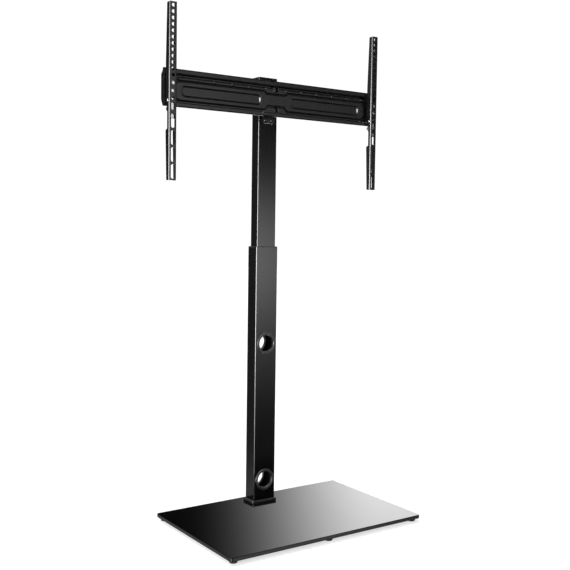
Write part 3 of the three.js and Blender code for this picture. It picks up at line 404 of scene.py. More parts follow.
def joined(name: str, parts: Sequence[bpy.types.Object]) -> bpy.types.Object:
    """Gathers closed shells into one object.

    Args:
        name: Name of the result.
        parts: The shells, which are used up.

    Returns:
        One object.
    """
    shape = bmesh.new()
    for part in parts:
        shape.from_mesh(part.data)
    mesh = bpy.data.meshes.new(name)
    shape.to_mesh(mesh)
    shape.free()
    for part in parts:
        discard(part)
    return link(name, mesh)


# Node trees


class Graph:
    """Small helper that adds nodes to a tree and links them."""

    def __init__(self, tree: bpy.types.NodeTree) -> None:
        """Starts with the given tree."""
        self.tree = tree

    def add(self, kind: str, inputs: Optional[Mapping[object, object]] = None,
            **values: object) -> bpy.types.Node:
        """Adds a node and feeds its inputs.

        Args:
            kind: Type name of the node.
            inputs: Sockets or plain values, by the name or number of the input that they feed.
            values: Attributes to set on the node.

        Returns:
            The node.
        """
        node = self.tree.nodes.new(kind)
        for key, value in values.items():
            setattr(node, key, value)
        for place, source in (inputs or {}).items():
            self.join(source, node.inputs[place])
        return node

    def join(self, source: object, target: bpy.types.NodeSocket) -> None:
        """Links an output to an input, or sets the input where the source is a plain value.

        Args:
            source: Output socket or plain value.
            target: Input socket.
        """
        if isinstance(source, bpy.types.NodeSocket):
            self.tree.links.new(source, target)
        else:
            target.default_value = source

    def copies(self, points: bpy.types.NodeSocket, one: bpy.types.NodeSocket) -> bpy.types.NodeSocket:
        """Puts a real copy of some geometry on each point.

        Args:
            points: Where the copies go.
            one: What is copied.

        Returns:
            The socket of all copies.
        """
        laid = self.add("GeometryNodeInstanceOnPoints", {"Points": points, "Instance": one})
        real = self.add("GeometryNodeRealizeInstances", {"Geometry": laid.outputs["Instances"]})
        return real.outputs["Geometry"]

    def math(self, operation: str, first: object, second: object = 0.0, third: object = 0.0,
             clamp: bool = False) -> bpy.types.NodeSocket:
        """Adds a math node.

        Args:
            operation: Name of the operation.
            first: Value or socket.
            second: Value or socket.
            third: Value or socket.
            clamp: Whether the result is held between 0 and 1.

        Returns:
            The result's socket.
        """
        terms = {0: first, 1: second, 2: third}
        return self.add("ShaderNodeMath", terms, operation=operation, use_clamp=clamp).outputs[0]


@dataclass(frozen=True)
class Opening:
    """One socket of a node group.

    Attributes:
        label: Name of the socket.
        kind: Its type.
        value: Its value at first, if it has one.
    """

    label: str
    kind: str
    value: object = None


def new_tree(name: str, kind: str, inputs: Sequence[Opening],
             outputs: Sequence[Opening]) -> tuple[Graph, dict[str, bpy.types.NodeSocket], bpy.types.Node]:
    """Starts a node group with named sockets.

    Args:
        name: Name of the group.
        kind: Tree type.
        inputs: Sockets on its left.
        outputs: Sockets on its right.

    Returns:
        The graph, its inputs by label, and the output node.
    """
    tree = bpy.data.node_groups.new(name, kind)
    for side, sockets in (("INPUT", inputs), ("OUTPUT", outputs)):
        for one in sockets:
            made = tree.interface.new_socket(one.label, in_out=side, socket_type=one.kind)
            if one.value is not None:
                made.default_value = one.value
    graph = Graph(tree)
    entry = graph.add("NodeGroupInput")
    return graph, {one.label: entry.outputs[one.label] for one in inputs}, graph.add("NodeGroupOutput")


class RowTree:
    """Tree that repeats a template in a row of rows."""

    def __init__(self) -> None:
        """Builds the tree."""
        steps = [Opening(f"Step {letter}", "NodeSocketVector") for letter in "AB"]
        counts = [Opening(f"Count {letter}", "NodeSocketInt", 1) for letter in "AB"]
        graph, given, end = new_tree("repeat_in_rows", "GeometryNodeTree", [
            Opening("Geometry", "NodeSocketGeometry"), Opening("Template", "NodeSocketObject"),
            Opening("First", "NodeSocketVector"), *steps, *counts, Opening("Finish", "NodeSocketMaterial"),
        ], [Opening("Geometry", "NodeSocketGeometry")])
        rows = []
        for letter in "AB":
            feed = {"Count": given[f"Count {letter}"], "Offset": given[f"Step {letter}"]}
            rows.append(graph.add("GeometryNodeMeshLine", feed, mode="OFFSET"))
        graph.join(given["First"], rows[0].inputs["Start Location"])
        spots = graph.copies(rows[0].outputs["Mesh"], rows[1].outputs["Mesh"])
        template = graph.add("GeometryNodeObjectInfo", {"Object": given["Template"]},
                             transform_space="ORIGINAL")
        copies = graph.copies(spots, template.outputs["Geometry"])
        finish = graph.add("GeometryNodeSetMaterial", {"Geometry": copies, "Material": given["Finish"]})
        graph.join(finish.outputs["Geometry"], end.inputs["Geometry"])
        self.tree = graph.tree

    def lay(self, name: str, template: bpy.types.Object, first: Vector, steps: Sequence[Vector],
            counts: Sequence[int], finish: bpy.types.Material) -> bpy.types.Object:
        """Lays copies of a template in rows and turns them into one plain mesh.

        Args:
            name: Name of the piece.
            template: What is repeated, which is used up.
            first: Where the first copy's origin lies.
            steps: The step along a row and from row to row.
            counts: How many copies each step makes.
            finish: The material of the copies.

        Returns:
            The piece.
        """
        piece = link(name, bpy.data.meshes.new(name))
        values = {"Template": template, "First": first, "Step A": steps[0], "Step B": steps[1],
                  "Count A": counts[0], "Count B": counts[1], "Finish": finish}
        set_inputs(piece, self.tree, values)
        applied(piece)
        discard(template)
        return piece


class PerforationTree:
    """Tree that cuts a row of equal holes through a piece."""

    def __init__(self) -> None:
        """Builds the tree."""
        graph, given, end = new_tree("perforate", "GeometryNodeTree", [
            Opening("Geometry", "NodeSocketGeometry"), Opening("Punch", "NodeSocketObject"),
            Opening("First", "NodeSocketVector"), Opening("Step", "NodeSocketVector"),
            Opening("Count", "NodeSocketInt", 1), Opening("Finish", "NodeSocketMaterial"),
        ], [Opening("Geometry", "NodeSocketGeometry")])
        feed = {"Count": given["Count"], "Start Location": given["First"], "Offset": given["Step"]}
        row = graph.add("GeometryNodeMeshLine", feed, mode="OFFSET")
        punch = graph.add("GeometryNodeObjectInfo", {"Object": given["Punch"]}, transform_space="ORIGINAL")
        strokes = graph.copies(row.outputs["Mesh"], punch.outputs["Geometry"])
        solids = {0: given["Geometry"], 1: strokes}
        cut = graph.add("GeometryNodeMeshBoolean", solids, operation="DIFFERENCE", solver="EXACT")
        coat = {"Geometry": cut.outputs["Mesh"], "Material": given["Finish"]}
        finish = graph.add("GeometryNodeSetMaterial", coat)
        graph.join(finish.outputs["Geometry"], end.inputs["Geometry"])
        self.tree = graph.tree

    def punch(self, piece: bpy.types.Object, tool: bpy.types.Object, first: Vector, step: Vector,
              count: int,
              finish: bpy.types.Material) -> bpy.types.Object:
        """Cuts a row of holes.

        Args:
            piece: What is cut.
            tool: Solid of one hole, which is used up.
            first: Where the first hole's origin lies.
            step: From one hole to the next.
            count: Number of holes.
            finish: The material of the piece.

        Returns:
            The piece.
        """
        set_inputs(piece, self.tree, {"Punch": tool, "First": first, "Step": step, "Count": count,
                                      "Finish": finish})
        applied(piece)
        discard(tool)
        return piece


def set_inputs(piece: bpy.types.Object, tree: bpy.types.NodeTree, values: dict[str, object]) -> None:
    """Adds a Geometry Nodes modifier and sets its inputs by the identifiers of their sockets.

    Args:
        piece: The object that gets the modifier.
        tree: The node tree.
        values: Values by the labels of the sockets.
    """
    modifier = piece.modifiers.new(tree.name, "NODES")
    modifier.node_group = tree
    for socket in tree.interface.items_tree:
        if socket.item_type == "SOCKET" and socket.in_out == "INPUT" and socket.name in values:
            modifier[socket.identifier] = values[socket.name]


# Finishes


class ShaderParts:
    """Shader node groups that more than one finish uses."""

    def __init__(self) -> None:
        """Builds each group once."""
        self.grain = self._grain()
        self.dust = self._dust()

    @staticmethod
    def _grain() -> bpy.types.NodeTree:
        """Builds the fine skin of a coat or moulding: a height and a speckle, both from 0 to 1.

        Returns:
            The node group.
        """
        graph, given, end = new_tree("skin_grain", "ShaderNodeTree", [
            Opening("Cell", "NodeSocketFloat", 1.0), Opening("Softness", "NodeSocketFloat", 0.5),
        ], [Opening("Height", "NodeSocketFloat"), Opening("Speckle", "NodeSocketFloat")])
        wider, pebble_share, cell_share = 0.6, 0.6, 0.5
        place = graph.add("ShaderNodeTexCoord").outputs["Object"]
        per_metre = graph.math("DIVIDE", 1 / MM, given["Cell"])
        pebble = graph.add("ShaderNodeTexNoise", {
            "Vector": place, "Scale": per_metre, "Detail": 3.0, "Roughness": given["Softness"],
        }).outputs["Fac"]
        cells = graph.add("ShaderNodeTexVoronoi", {
            "Vector": place, "Scale": graph.math("MULTIPLY", per_metre, wider),
        }, feature="SMOOTH_F1").outputs["Distance"]
        height = graph.math("MULTIPLY_ADD", pebble, pebble_share, graph.math("MULTIPLY", cells, cell_share))
        graph.join(height, end.inputs["Height"])
        graph.join(graph.math("ADD", pebble, 0.0, clamp=True), end.inputs["Speckle"])
        return graph.tree

    @staticmethod
    def _dust() -> bpy.types.NodeTree:
        """Builds the signs of handling: slow clouds over the coat, and dust on faces that look up.

        Returns:
            The node group.
        """
        graph, given, end = new_tree("handling", "ShaderNodeTree", [
            Opening("Patch", "NodeSocketFloat", 60.0), Opening("Settling", "NodeSocketFloat", 0.3),
        ], [Opening("Cloud", "NodeSocketFloat"), Opening("Dust", "NodeSocketFloat")])
        specks_per_metre, steepness = 900.0, 4.0
        place = graph.add("ShaderNodeTexCoord").outputs["Object"]
        cloud = graph.add("ShaderNodeTexNoise", {
            "Vector": place, "Scale": graph.math("DIVIDE", 1 / MM, given["Patch"]), "Detail": 4.0,
        }).outputs["Fac"]
        fine = graph.add("ShaderNodeTexNoise", {"Vector": place, "Scale": specks_per_metre, "Detail": 2.0})
        face = graph.add("ShaderNodeNewGeometry")
        parts = graph.add("ShaderNodeSeparateXYZ", {"Vector": face.outputs["Normal"]})
        upward = graph.math("POWER", graph.math("MAXIMUM", parts.outputs["Z"], 0.0), steepness)
        specks = graph.math("MULTIPLY", fine.outputs["Fac"], cloud)
        laid = graph.math("MULTIPLY", graph.math("MULTIPLY", upward, specks), given["Settling"], clamp=True)
        graph.join(cloud, end.inputs["Cloud"])
        graph.join(laid, end.inputs["Dust"])
        return graph.tree


@dataclass(frozen=True)
class Finish:
    """Surface of a piece.

    Attributes:
        name: Name of the material.
        slot: Material slot of the record.
        colour: Base colour, linear.
        shade: A second colour that slow clouds lead to.
        roughness: Middle roughness.
        spread: How far the roughness strays from it.
        cell: Size of the grain in millimetres.
        relief: Depth of the grain in millimetres.
        metal: Metallic share.
        reflection: Specular level.
        index: Index of refraction.
        dust: Strength of the dust on faces that look up.
    """

    name: str
    slot: str
    colour: tuple[float, float, float]
    shade: tuple[float, float, float]
    roughness: float
    spread: float
    cell: float
    relief: float
    metal: float = 0.0
    reflection: float = 0.5
    index: float = 1.5
    dust: float = 0.25

    def build(self, parts: ShaderParts) -> bpy.types.Material:
        """Makes the material.

        Args:
            parts: The shared shader groups.

        Returns:
            The material.
        """
        material = bpy.data.materials.new(self.name)
        material.use_nodes = True
        graph = Graph(material.node_tree)
        shader = material.node_tree.nodes["Principled BSDF"]
        grain = graph.add("ShaderNodeGroup", {"Cell": self.cell}, node_tree=parts.grain)
        marks = graph.add("ShaderNodeGroup", {"Settling": self.dust}, node_tree=parts.dust)
        tone = graph.add("ShaderNodeMix", {
            "Factor": marks.outputs["Cloud"], "A": (*self.colour, 1), "B": (*self.shade, 1),
        }, data_type="RGBA")
        dusty = graph.add("ShaderNodeMix", {
            "Factor": marks.outputs["Dust"], "A": tone.outputs["Result"], "B": DUST_COLOUR,
        }, data_type="RGBA")
        mottled = graph.add("ShaderNodeMapRange", {
            "Value": graph.math("ADD", grain.outputs["Speckle"], marks.outputs["Dust"]),
            "From Min": SPECKLE_RANGE[0], "From Max": SPECKLE_RANGE[1],
            "To Min": self.roughness - self.spread, "To Max": self.roughness + self.spread,
        })
        bump = graph.add("ShaderNodeBump", {
            "Distance": self.relief * MM, "Strength": 1.0, "Height": grain.outputs["Height"],
        })
        feeds = {
            "Base Color": dusty.outputs["Result"], "Roughness": mottled.outputs["Result"],
            "Normal": bump.outputs["Normal"], "Metallic": self.metal, "Specular IOR Level": self.reflection,
            "IOR": self.index,
        }
        for label, source in feeds.items():
            graph.join(source, shader.inputs[label])
        return material


DUST_COLOUR = (0.32, 0.31, 0.30, 1)
SPECKLE_RANGE = (0.25, 0.75)  # where the noise of the speckle mostly lies
POWDER_COAT = Finish("satin_powder_coat", "powder_coat", (0.0020, 0.0020, 0.0021), (0.0034, 0.0034, 0.0036),
                     roughness=0.31, spread=0.05, cell=0.9, relief=0.004, dust=0.02)
TUBE_COAT = Finish("column_powder_coat", "tube_coat", (0.0012, 0.0012, 0.0013), (0.0020, 0.0020, 0.0021),
                   roughness=0.15, spread=0.03, cell=1.1, relief=0.0012, dust=0.02)
ARM_COAT = Finish("arm_powder_coat", "powder_coat", (0.0016, 0.0016, 0.0017), (0.0028, 0.0028, 0.0029),
                  roughness=0.23, spread=0.04, cell=0.9, relief=0.003, dust=0.02)
# painted shade: a dull, barely reflecting black for the walls inside the tubes, so that they stay dark as
# in shade
TUBE_INSIDE_SHADE = Finish("tube_inside_painted_shade", "tube_coat", (0.0012, 0.0012, 0.0012), (0.0028, 0.0026, 0.0024),
                     roughness=0.85, spread=0.10, cell=0.8, relief=0.010, reflection=0.06, dust=0.0)
CAP_PLASTIC = Finish("matt_black_plastic", "black_plastic", (0.0018, 0.0018, 0.0019),
                     (0.0030, 0.0030, 0.0031),
                     roughness=0.36, spread=0.06, cell=0.5, relief=0.010, reflection=0.14, dust=0.02)
BLACK_GLASS = Finish("painted_black_glass", "black_glass", (0.0005, 0.0005, 0.0006),
                     (0.0008, 0.0008, 0.0009),
                     roughness=0.07, spread=0.012, cell=40.0, relief=0.0005, index=1.52, dust=0.002)
BLACK_PLASTIC = Finish("moulded_black_plastic", "black_plastic", (0.0030, 0.0030, 0.0032),
                       (0.0048, 0.0048, 0.0050), roughness=0.30, spread=0.06, cell=0.5, relief=0.010,
                       reflection=0.85, dust=0.03)
RUBBER = Finish("foot_rubber", "rubber", (0.009, 0.009, 0.009), (0.015, 0.015, 0.015),
                roughness=0.82, spread=0.08, cell=0.7, relief=0.03, dust=0.05)
ZINC = Finish("bright_zinc_plate", "zinc", (0.66, 0.67, 0.69), (0.52, 0.53, 0.56),
              roughness=0.26, spread=0.08, cell=0.6, relief=0.003, metal=1.0, dust=0.02)
DARK_ZINC = Finish("dark_zinc_plate", "zinc", (0.10, 0.10, 0.105), (0.07, 0.07, 0.074),
                   roughness=0.32, spread=0.08, cell=0.5, relief=0.004, metal=1.0, dust=0.02)
NYLON = Finish("natural_nylon", "nylon", (0.70, 0.68, 0.61), (0.62, 0.60, 0.54),
               roughness=0.45, spread=0.06, cell=0.8, relief=0.008)
BLACK_SCREW = Finish("black_oxide", "black_screw", (0.030, 0.030, 0.033), (0.045, 0.044, 0.045),
                     roughness=0.34, spread=0.06, cell=0.4, relief=0.004, metal=1.0, dust=0.02)
FINISHES = [POWDER_COAT, TUBE_COAT, ARM_COAT, TUBE_INSIDE_SHADE, BLACK_GLASS, BLACK_PLASTIC, CAP_PLASTIC, RUBBER,
            ZINC,
            DARK_ZINC, NYLON, BLACK_SCREW]


class Workshop:
    """What every sub-assembly needs to finish its pieces: node trees and materials."""

    def __init__(self) -> None:
        """Builds the trees and the materials."""
        parts = ShaderParts()
        self.rows = RowTree()
        self.holes = PerforationTree()
        self.materials = {finish.name: finish.build(parts) for finish in FINISHES}

    def material(self, finish: Finish) -> bpy.types.Material:
        """Gives the material of a finish."""
        return self.materials[finish.name]

    def hand_over(self, piece: bpy.types.Object, name: str, body: Body, finish: Finish,
                  nodes: Sequence[str] = ()) -> bpy.types.Object:
        """Names a finished piece, gives it its finish and ties it to its body.

        Args:
            piece: The finished piece.
            name: Its name.
            body: The body that it moves with.
            finish: Its finish.
            nodes: The nodes of the frame that it stands for.

        Returns:
            The piece.
        """
        piece.name = name
        piece.data.name = name
        piece.data.materials.clear()
        piece.data.materials.append(self.material(finish))
        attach(piece, body.value)
        if nodes:
            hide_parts(*nodes)
        LOG.info("%s: %d faces on %s", name, len(piece.data.polygons), body.value)
        return piece

    def keep(self, node: str, finish: Finish) -> None:
        """Gives a node of the frame that stays in view its finish.

        Args:
            node: Name of the node.
            finish: Its finish.
        """
        kept = frame["nodes"][node]
        kept.data.materials.clear()
        kept.data.materials.append(self.material(finish))
        LOG.info("%s: kept, with the finish %s", node, finish.name)


@dataclass
class Assembly:
    """A group of pieces that are made together.

    Attributes:
        shop: Trees and materials for its pieces.
    """

    shop: Workshop


# Places taken from the frame


def middle(node: str) -> Vector:
    """Gives the middle of a node's box."""
    low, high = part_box(node)
    return (low + high) / 2


def joint_point(name: str) -> Vector:
    """Gives the point that a hinge turns about.

    Args:
        name: Name of the joint.

    Returns:
        The point.

    Raises:
        KeyError: If the frame has no such joint.
    """
    for joint in frame["joints"]:
        if joint["name"] == name:
            return Vector(joint["pos_m"])
    raise KeyError(name)


def base_drills(radius: float, low: float, high: float) -> list[bpy.types.Object]:
    """Makes the drills for the four bolts of the base.

    Args:
        radius: Radius of a drill.
        low: Lower face of what is drilled.
        high: Upper face of it.

    Returns:
        The drills, front row first.
    """
    places = [middle(f"base_bolt_{row}_{side}") for row in ("front", "rear") for side in ("left", "right")]
    return [rod(radius, low - PAST, high + PAST, Axis.Z, Vector((place.x, place.y, 0)), sides=32)
            for place in places]


COLUMN_Y = middle("upper_column").y
GLASS_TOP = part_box("glass_base")[1].z
PIVOT = joint_point("head_swivel")


# Base


@dataclass
class GlassBase(Assembly):
    """Glass plate, its feet and the clamp that holds the column to it.

    Attributes:
        corner: Corner radius of the glass.
        chamfer: Ground edge of the glass.
        foot_radius: Radius of a foot at its top.
        foot_tip: Radius of a foot on the floor.
        foot_edge: Radius of the rounds on a foot.
        bolt_radius: Radius of a clamp bolt.
        bolt_head: Radius of its head.
        bolt_edge: Radius of the rounds on a bolt.
        head_height: Height of its head.
        socket: Radius of the socket in the head.
        socket_depth: Depth of that socket.
        plate_corner: Corner radius of the clamp plate and the gasket on it.
        gasket_corner: Corner radius of the gasket on the glass.
    """

    corner: float = 6 * MM
    chamfer: float = 1 * MM
    foot_radius: float = 12 * MM
    foot_tip: float = 9.5 * MM
    foot_edge: float = 1 * MM
    bolt_radius: float = 4 * MM
    bolt_head: float = 7 * MM
    bolt_edge: float = 0.5 * MM
    head_height: float = 2.4 * MM
    socket: float = 2.9 * MM
    socket_depth: float = 1.4 * MM
    plate_corner: float = 8 * MM
    gasket_corner: float = 3 * MM

    def build(self) -> None:
        """Makes all pieces of the base below the column."""
        self._glass()
        self._feet()
        self._bolts()
        self._flat("clamp_plate", self.plate_corner, POWDER_COAT)
        self._flat("lower_gasket", self.plate_corner, RUBBER)
        self._flat("upper_gasket", self.gasket_corner, RUBBER)

    def _glass(self) -> None:
        """Makes the plate with its ground edge."""
        low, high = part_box("glass_base")
        outline = rounded_rect(high.x - low.x, high.y - low.y, self.corner, steps=14)
        plate = prism("glass", outline, Axis.Z, low.z, high.z)
        eased(plate, self.chamfer, segments=1, angle=60)
        self.shop.hand_over(shaded(plate, angle=30), "glass_plate", Body.BASE, BLACK_GLASS, ["glass_base"])

    def _feet(self) -> None:
        """Makes the six turned feet in two rows."""
        low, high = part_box("foot_front_left")
        height = high.z - low.z
        edge = self.foot_edge
        profile = [(0, 0), *arc((self.foot_tip - edge, edge), edge, -90, -20, steps=5),
                   *arc((self.foot_radius - edge, height - edge), edge, -20, 90, steps=6), (0, height)]
        foot = shaded(turned("foot", profile, Axis.Z, sides=64), angle=50)
        first = middle("foot_front_left")
        along = middle("foot_front_middle") - first
        across = middle("foot_rear_left") - first
        first.z = low.z
        feet = self.shop.rows.lay("feet", foot, first, [along, across], [3, 2], self.shop.material(RUBBER))
        names = [f"foot_{row}_{place}" for row in ("front", "rear")
                 for place in ("left", "middle", "right")]
        self.shop.hand_over(feet, "rubber_feet", Body.BASE, RUBBER, names)

    def _bolts(self) -> None:
        """Makes the four bolts that come up through the glass."""
        low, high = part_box("base_bolt_front_left")
        length = high.z - low.z
        round_edge = self.bolt_edge
        profile = [(0, 0), *arc((self.bolt_head - round_edge, round_edge), round_edge, -90, 0, steps=4),
                   (self.bolt_head, self.head_height), (self.bolt_radius, self.head_height),
                   (self.bolt_radius, length - round_edge), (self.bolt_radius - round_edge, length),
                   (0, length)]
        bolt = turned("bolt", profile, Axis.Z, sides=48)
        socket = rod(self.socket, -PAST, self.socket_depth, Axis.Z, sides=HEX)
        shaded(worked(bolt, Cut.TAKE, [socket]), angle=40)
        first = middle("base_bolt_front_left")
        along = middle("base_bolt_front_right") - first
        across = middle("base_bolt_rear_left") - first
        first.z = low.z
        bolts = self.shop.rows.lay("bolts", bolt, first, [along, across], [2, 2], self.shop.material(ZINC))
        names = [f"base_bolt_{row}_{side}" for row in ("front", "rear") for side in ("left", "right")]
        self.shop.hand_over(bolts, "base_bolts", Body.BASE, ZINC, names)

    def _flat(self, node: str, corner: float, finish: Finish) -> None:
        """Makes a flat piece with four bolt holes from its node's box.

        Args:
            node: Name of the node.
            corner: Corner radius of the piece.
            finish: Its finish.
        """
        low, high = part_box(node)
        centre = middle(node)
        outline = rounded_rect(high.x - low.x, high.y - low.y, corner, (centre.x, centre.y))
        sheet = prism(node, outline, Axis.Z, low.z, high.z)
        worked(sheet, Cut.TAKE, base_drills(self.bolt_radius + FILM, low.z, high.z))
        self.shop.hand_over(shaded(eased(sheet, 0.2 * MM, segments=1)), f"{node}_sheet", Body.BASE, finish,
                            [node])


@dataclass
class Column(Assembly):
    """Lower tube with its foot, grommets and bush, and the tube that slides in it.

    Attributes:
        width: Width of the lower tube.
        depth: Depth of the lower tube.
        wall: Wall of both tubes.
        corner: Outer corner radius of the lower tube.
        inner_corner: Outer corner radius of the upper tube.
        hole: Radius of the cable holes.
        boss: Radius of the clamp bolts' bosses.
        bolt: Radius of the clamp bolts.
        bolt_head: Radius of their heads.
        head_height: Height of their heads.
        foot: Thickness of the foot plate under the lower tube.
        foot_depth: Depth of that plate.
        foot_corner: Corner radius of that plate.
    """

    width: float = 70 * MM
    depth: float = 45 * MM
    wall: float = 2 * MM
    corner: float = 3.4 * MM
    inner_corner: float = 2.6 * MM
    hole: float = 25 * MM
    boss: float = 8 * MM
    bolt: float = 4 * MM
    bolt_head: float = 6.5 * MM
    head_height: float = 7 * MM
    foot: float = 4 * MM
    foot_depth: float = 47 * MM
    foot_corner: float = 3 * MM

    def build(self) -> None:
        """Makes all pieces of the column."""
        self._plinth()
        self._lower_tube()
        self._grommets()
        self._bush()
        self._clamp_bolts()
        self._upper_tube()
        self._top_cap()
        self.shop.keep("lower_glide", NYLON)
        for name in ("lower_tube", "cable_grommets_front", "cable_grommets_rear", "guide_bush",
                     "upper_tube"):
            bpy.data.objects[name].visible_glossy = False

    @staticmethod
    def _section(width: float, depth: float, corner: float) -> list[Point2]:
        """Gives a rounded section about the column's axis."""
        return rounded_rect(width, depth, corner, (0, COLUMN_Y), steps=10)

    def _plinth(self) -> None:
        """Makes the low cover over the foot plate."""
        low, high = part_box("plinth_cover")
        side = 1.5 * MM
        top = 2 * MM
        corner = 4 * MM
        width, depth = high.x - low.x, high.y - low.y
        cover = prism("plinth", self._section(width, depth, corner), Axis.Z, low.z, high.z)
        soft_edge = 1.6 * MM
        eased(cover, soft_edge, segments=4, angle=60)
        hollow = prism("hollow", self._section(width - 2 * side, depth - 2 * side, corner - side), Axis.Z,
                       low.z - 2 * PAST, high.z - top)
        throat = prism("throat",
                       self._section(self.width + 2 * FILM, self.depth + 2 * FILM, self.corner + FILM),
                       Axis.Z, low.z - 2 * PAST, high.z + 2 * PAST)
        worked(cover, Cut.TAKE, [hollow, throat])
        self.shop.hand_over(shaded(cover, angle=40), "plinth", Body.BASE, BLACK_PLASTIC, ["plinth_cover"])

    def _lower_tube(self) -> None:
        """Makes the lower tube, drilled for cables and with bosses for the clamp bolts."""
        low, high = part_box("lower_column")
        foot_high = low.z + self.foot
        tube = prism("tube", self._section(self.width, self.depth, self.corner), Axis.Z, low.z, high.z)
        foot_section = self._section(high.x - low.x, self.foot_depth, self.foot_corner)
        foot = prism("foot", foot_section, Axis.Z, low.z, foot_high)
        worked(tube, Cut.JOIN, [foot])
        rear = COLUMN_Y + self.depth / 2
        bolts = [middle(f"clamp_bolt_{level}") for level in ("upper", "lower")]
        bosses = [rod(self.boss, rear - PAST, high.y, Axis.Y, Vector((0, 0, place.z))) for place in bolts]
        worked(tube, Cut.JOIN, bosses)
        inner_width, inner_depth = self.width - 2 * self.wall, self.depth - 2 * self.wall
        bore = prism("bore", self._section(inner_width, inner_depth, self.corner - self.wall), Axis.Z,
                     foot_high, high.z + 2 * PAST)
        cuts = [bore]
        for level in ("lower", "upper"):
            height = middle(f"grommet_front_{level}").z
            cuts.append(rod(self.hole, COLUMN_Y - self.depth, COLUMN_Y + self.depth, Axis.Y,
                            Vector((0, 0, height)), sides=96))
        for place in bolts:
            cuts.append(rod(self.bolt + FILM, COLUMN_Y, high.y + 2 * PAST, Axis.Y, Vector((0, 0, place.z))))
        cuts += base_drills(self.bolt + FILM, low.z, foot_high)
        worked(tube, Cut.TAKE, cuts)
        eased(tube, 0.35 * MM, segments=2, angle=50)
        self.shop.hand_over(shaded(tube, angle=35), "lower_tube", Body.BASE, TUBE_COAT, ["lower_column"])
        self._paint_inside_shade(tube, self.width, self.depth)

    def _paint_inside_shade(self, tube: bpy.types.Object, width: float, depth: float) -> None:
        """Gives the walls inside a tube a dull, barely reflecting black, which paints the shade inside the
        tube.

        Args:
            tube: The tube, already handed over.
            width: Its outer width.
            depth: Its outer depth.
        """
        # the inner walls take the painted-shade finish
        tube.data.materials.append(self.shop.material(TUBE_INSIDE_SHADE))
        reach_x = width / 2 - self.wall + FILM
        reach_y = depth / 2 - self.wall + FILM
        for face in tube.data.polygons:
            if abs(face.center.x) < reach_x and abs(face.center.y - COLUMN_Y) < reach_y:
                face.material_index = 1

    def _grommets(self) -> None:
        """Makes the snap-in rings, a row of two on each face of the tube."""
        ring_width = 7 * MM
        proud = 2.6 * MM
        lip = 1.3 * MM
        barb = 0.8 * MM
        for side, sign in (("front", -1), ("rear", 1)):
            low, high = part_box(f"grommet_{side}_lower")
            flange = (high.x - low.x) / 2
            bore = flange - ring_width
            neck = self.hole - FILM
            tail = -(high.y - low.y - proud)
            catch = -self.wall - FILM
            profile = [(bore, tail), (neck - barb, tail), (neck + barb, catch - barb), (neck, catch),
                       (neck, FILM), (flange, FILM), *arc((flange - lip, proud - lip), lip, 0, 90, steps=6),
                       *arc((bore + lip, proud - lip), lip, 90, 180, steps=6)]
            ring = turned("ring", [(radius, sign * along) for radius, along in profile], Axis.Y, sides=96)
            shaded(ring, angle=35)
            first = Vector((0, COLUMN_Y + sign * self.depth / 2, middle(f"grommet_{side}_lower").z))
            step = Vector((0, 0, middle(f"grommet_{side}_upper").z - first.z))
            rings = self.shop.rows.lay("rings", ring, first, [step, Vector()], [2, 1],
                                       self.shop.material(BLACK_PLASTIC))
            names = [f"grommet_{side}_{level}" for level in ("lower", "upper")]
            self.shop.hand_over(rings, f"cable_grommets_{side}", Body.BASE, BLACK_PLASTIC, names)

    def _bush(self) -> None:
        """Makes the bush in the mouth of the lower tube."""
        low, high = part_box("guide_sleeve")
        lip_height = 2 * MM
        sink = 0.5 * MM
        body_gap = 2 * (self.wall + FILM)
        bush = prism("bush",
                     self._section(self.width - body_gap, self.depth - body_gap, self.corner - self.wall),
                     Axis.Z, low.z, high.z - sink)
        lip = prism("lip", self._section(self.width, self.depth, self.corner), Axis.Z, high.z - lip_height,
                    high.z)
        eased(lip, 0.7 * MM, segments=3, angle=60)
        worked(bush, Cut.JOIN, [lip])
        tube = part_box("upper_column")
        running = 0.8 * MM
        throat = self._section(tube[1].x - tube[0].x + running, tube[1].y - tube[0].y + running,
                               self.inner_corner)
        worked(bush, Cut.TAKE, [prism("throat", throat, Axis.Z, low.z - PAST, high.z + PAST)])
        self.shop.hand_over(shaded(bush, angle=40), "guide_bush", Body.BASE, BLACK_PLASTIC,
                            ["guide_sleeve"])

    def _clamp_bolts(self) -> None:
        """Makes the two socket screws at the back that hold the height."""
        low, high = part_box("clamp_bolt_upper")
        length = high.y - low.y
        round_edge = 0.8 * MM
        point = 0.6 * MM
        socket_radius, socket_depth = 3 * MM, 3.5 * MM
        head = length - self.head_height
        profile = [(0, 0), (self.bolt - point, 0), (self.bolt, point), (self.bolt, head),
                   (self.bolt_head, head),
                   *arc((self.bolt_head - round_edge, length - round_edge), round_edge, 0, 90, steps=5),
                   (0, length)]
        screw = turned("screw", profile, Axis.Y, sides=64)
        socket = rod(socket_radius, length - socket_depth, length + PAST, Axis.Y, sides=HEX)
        shaded(worked(screw, Cut.TAKE, [socket]), angle=40)
        first = middle("clamp_bolt_upper")
        step = middle("clamp_bolt_lower") - first
        first.y = low.y
        screws = self.shop.rows.lay("screws", screw, first, [step, Vector()], [2, 1],
                                    self.shop.material(BLACK_SCREW))
        self.shop.hand_over(screws, "clamp_screws", Body.BASE, BLACK_SCREW,
                            ["clamp_bolt_upper", "clamp_bolt_lower"])

    def _upper_tube(self) -> None:
        """Makes the sliding tube."""
        low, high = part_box("upper_column")
        width, depth = high.x - low.x, high.y - low.y
        tube = prism("tube", self._section(width, depth, self.inner_corner), Axis.Z, low.z, high.z)
        bore = prism("bore", self._section(width - 2 * self.wall, depth - 2 * self.wall,
                                           self.inner_corner - self.wall), Axis.Z, low.z - PAST,
                                           high.z + PAST)
        worked(tube, Cut.TAKE, [bore])
        eased(tube, 0.3 * MM, segments=2, angle=50)
        self.shop.hand_over(shaded(tube, angle=35), "upper_tube", Body.MAST, TUBE_COAT, ["upper_column"])
        self._paint_inside_shade(tube, width, depth)

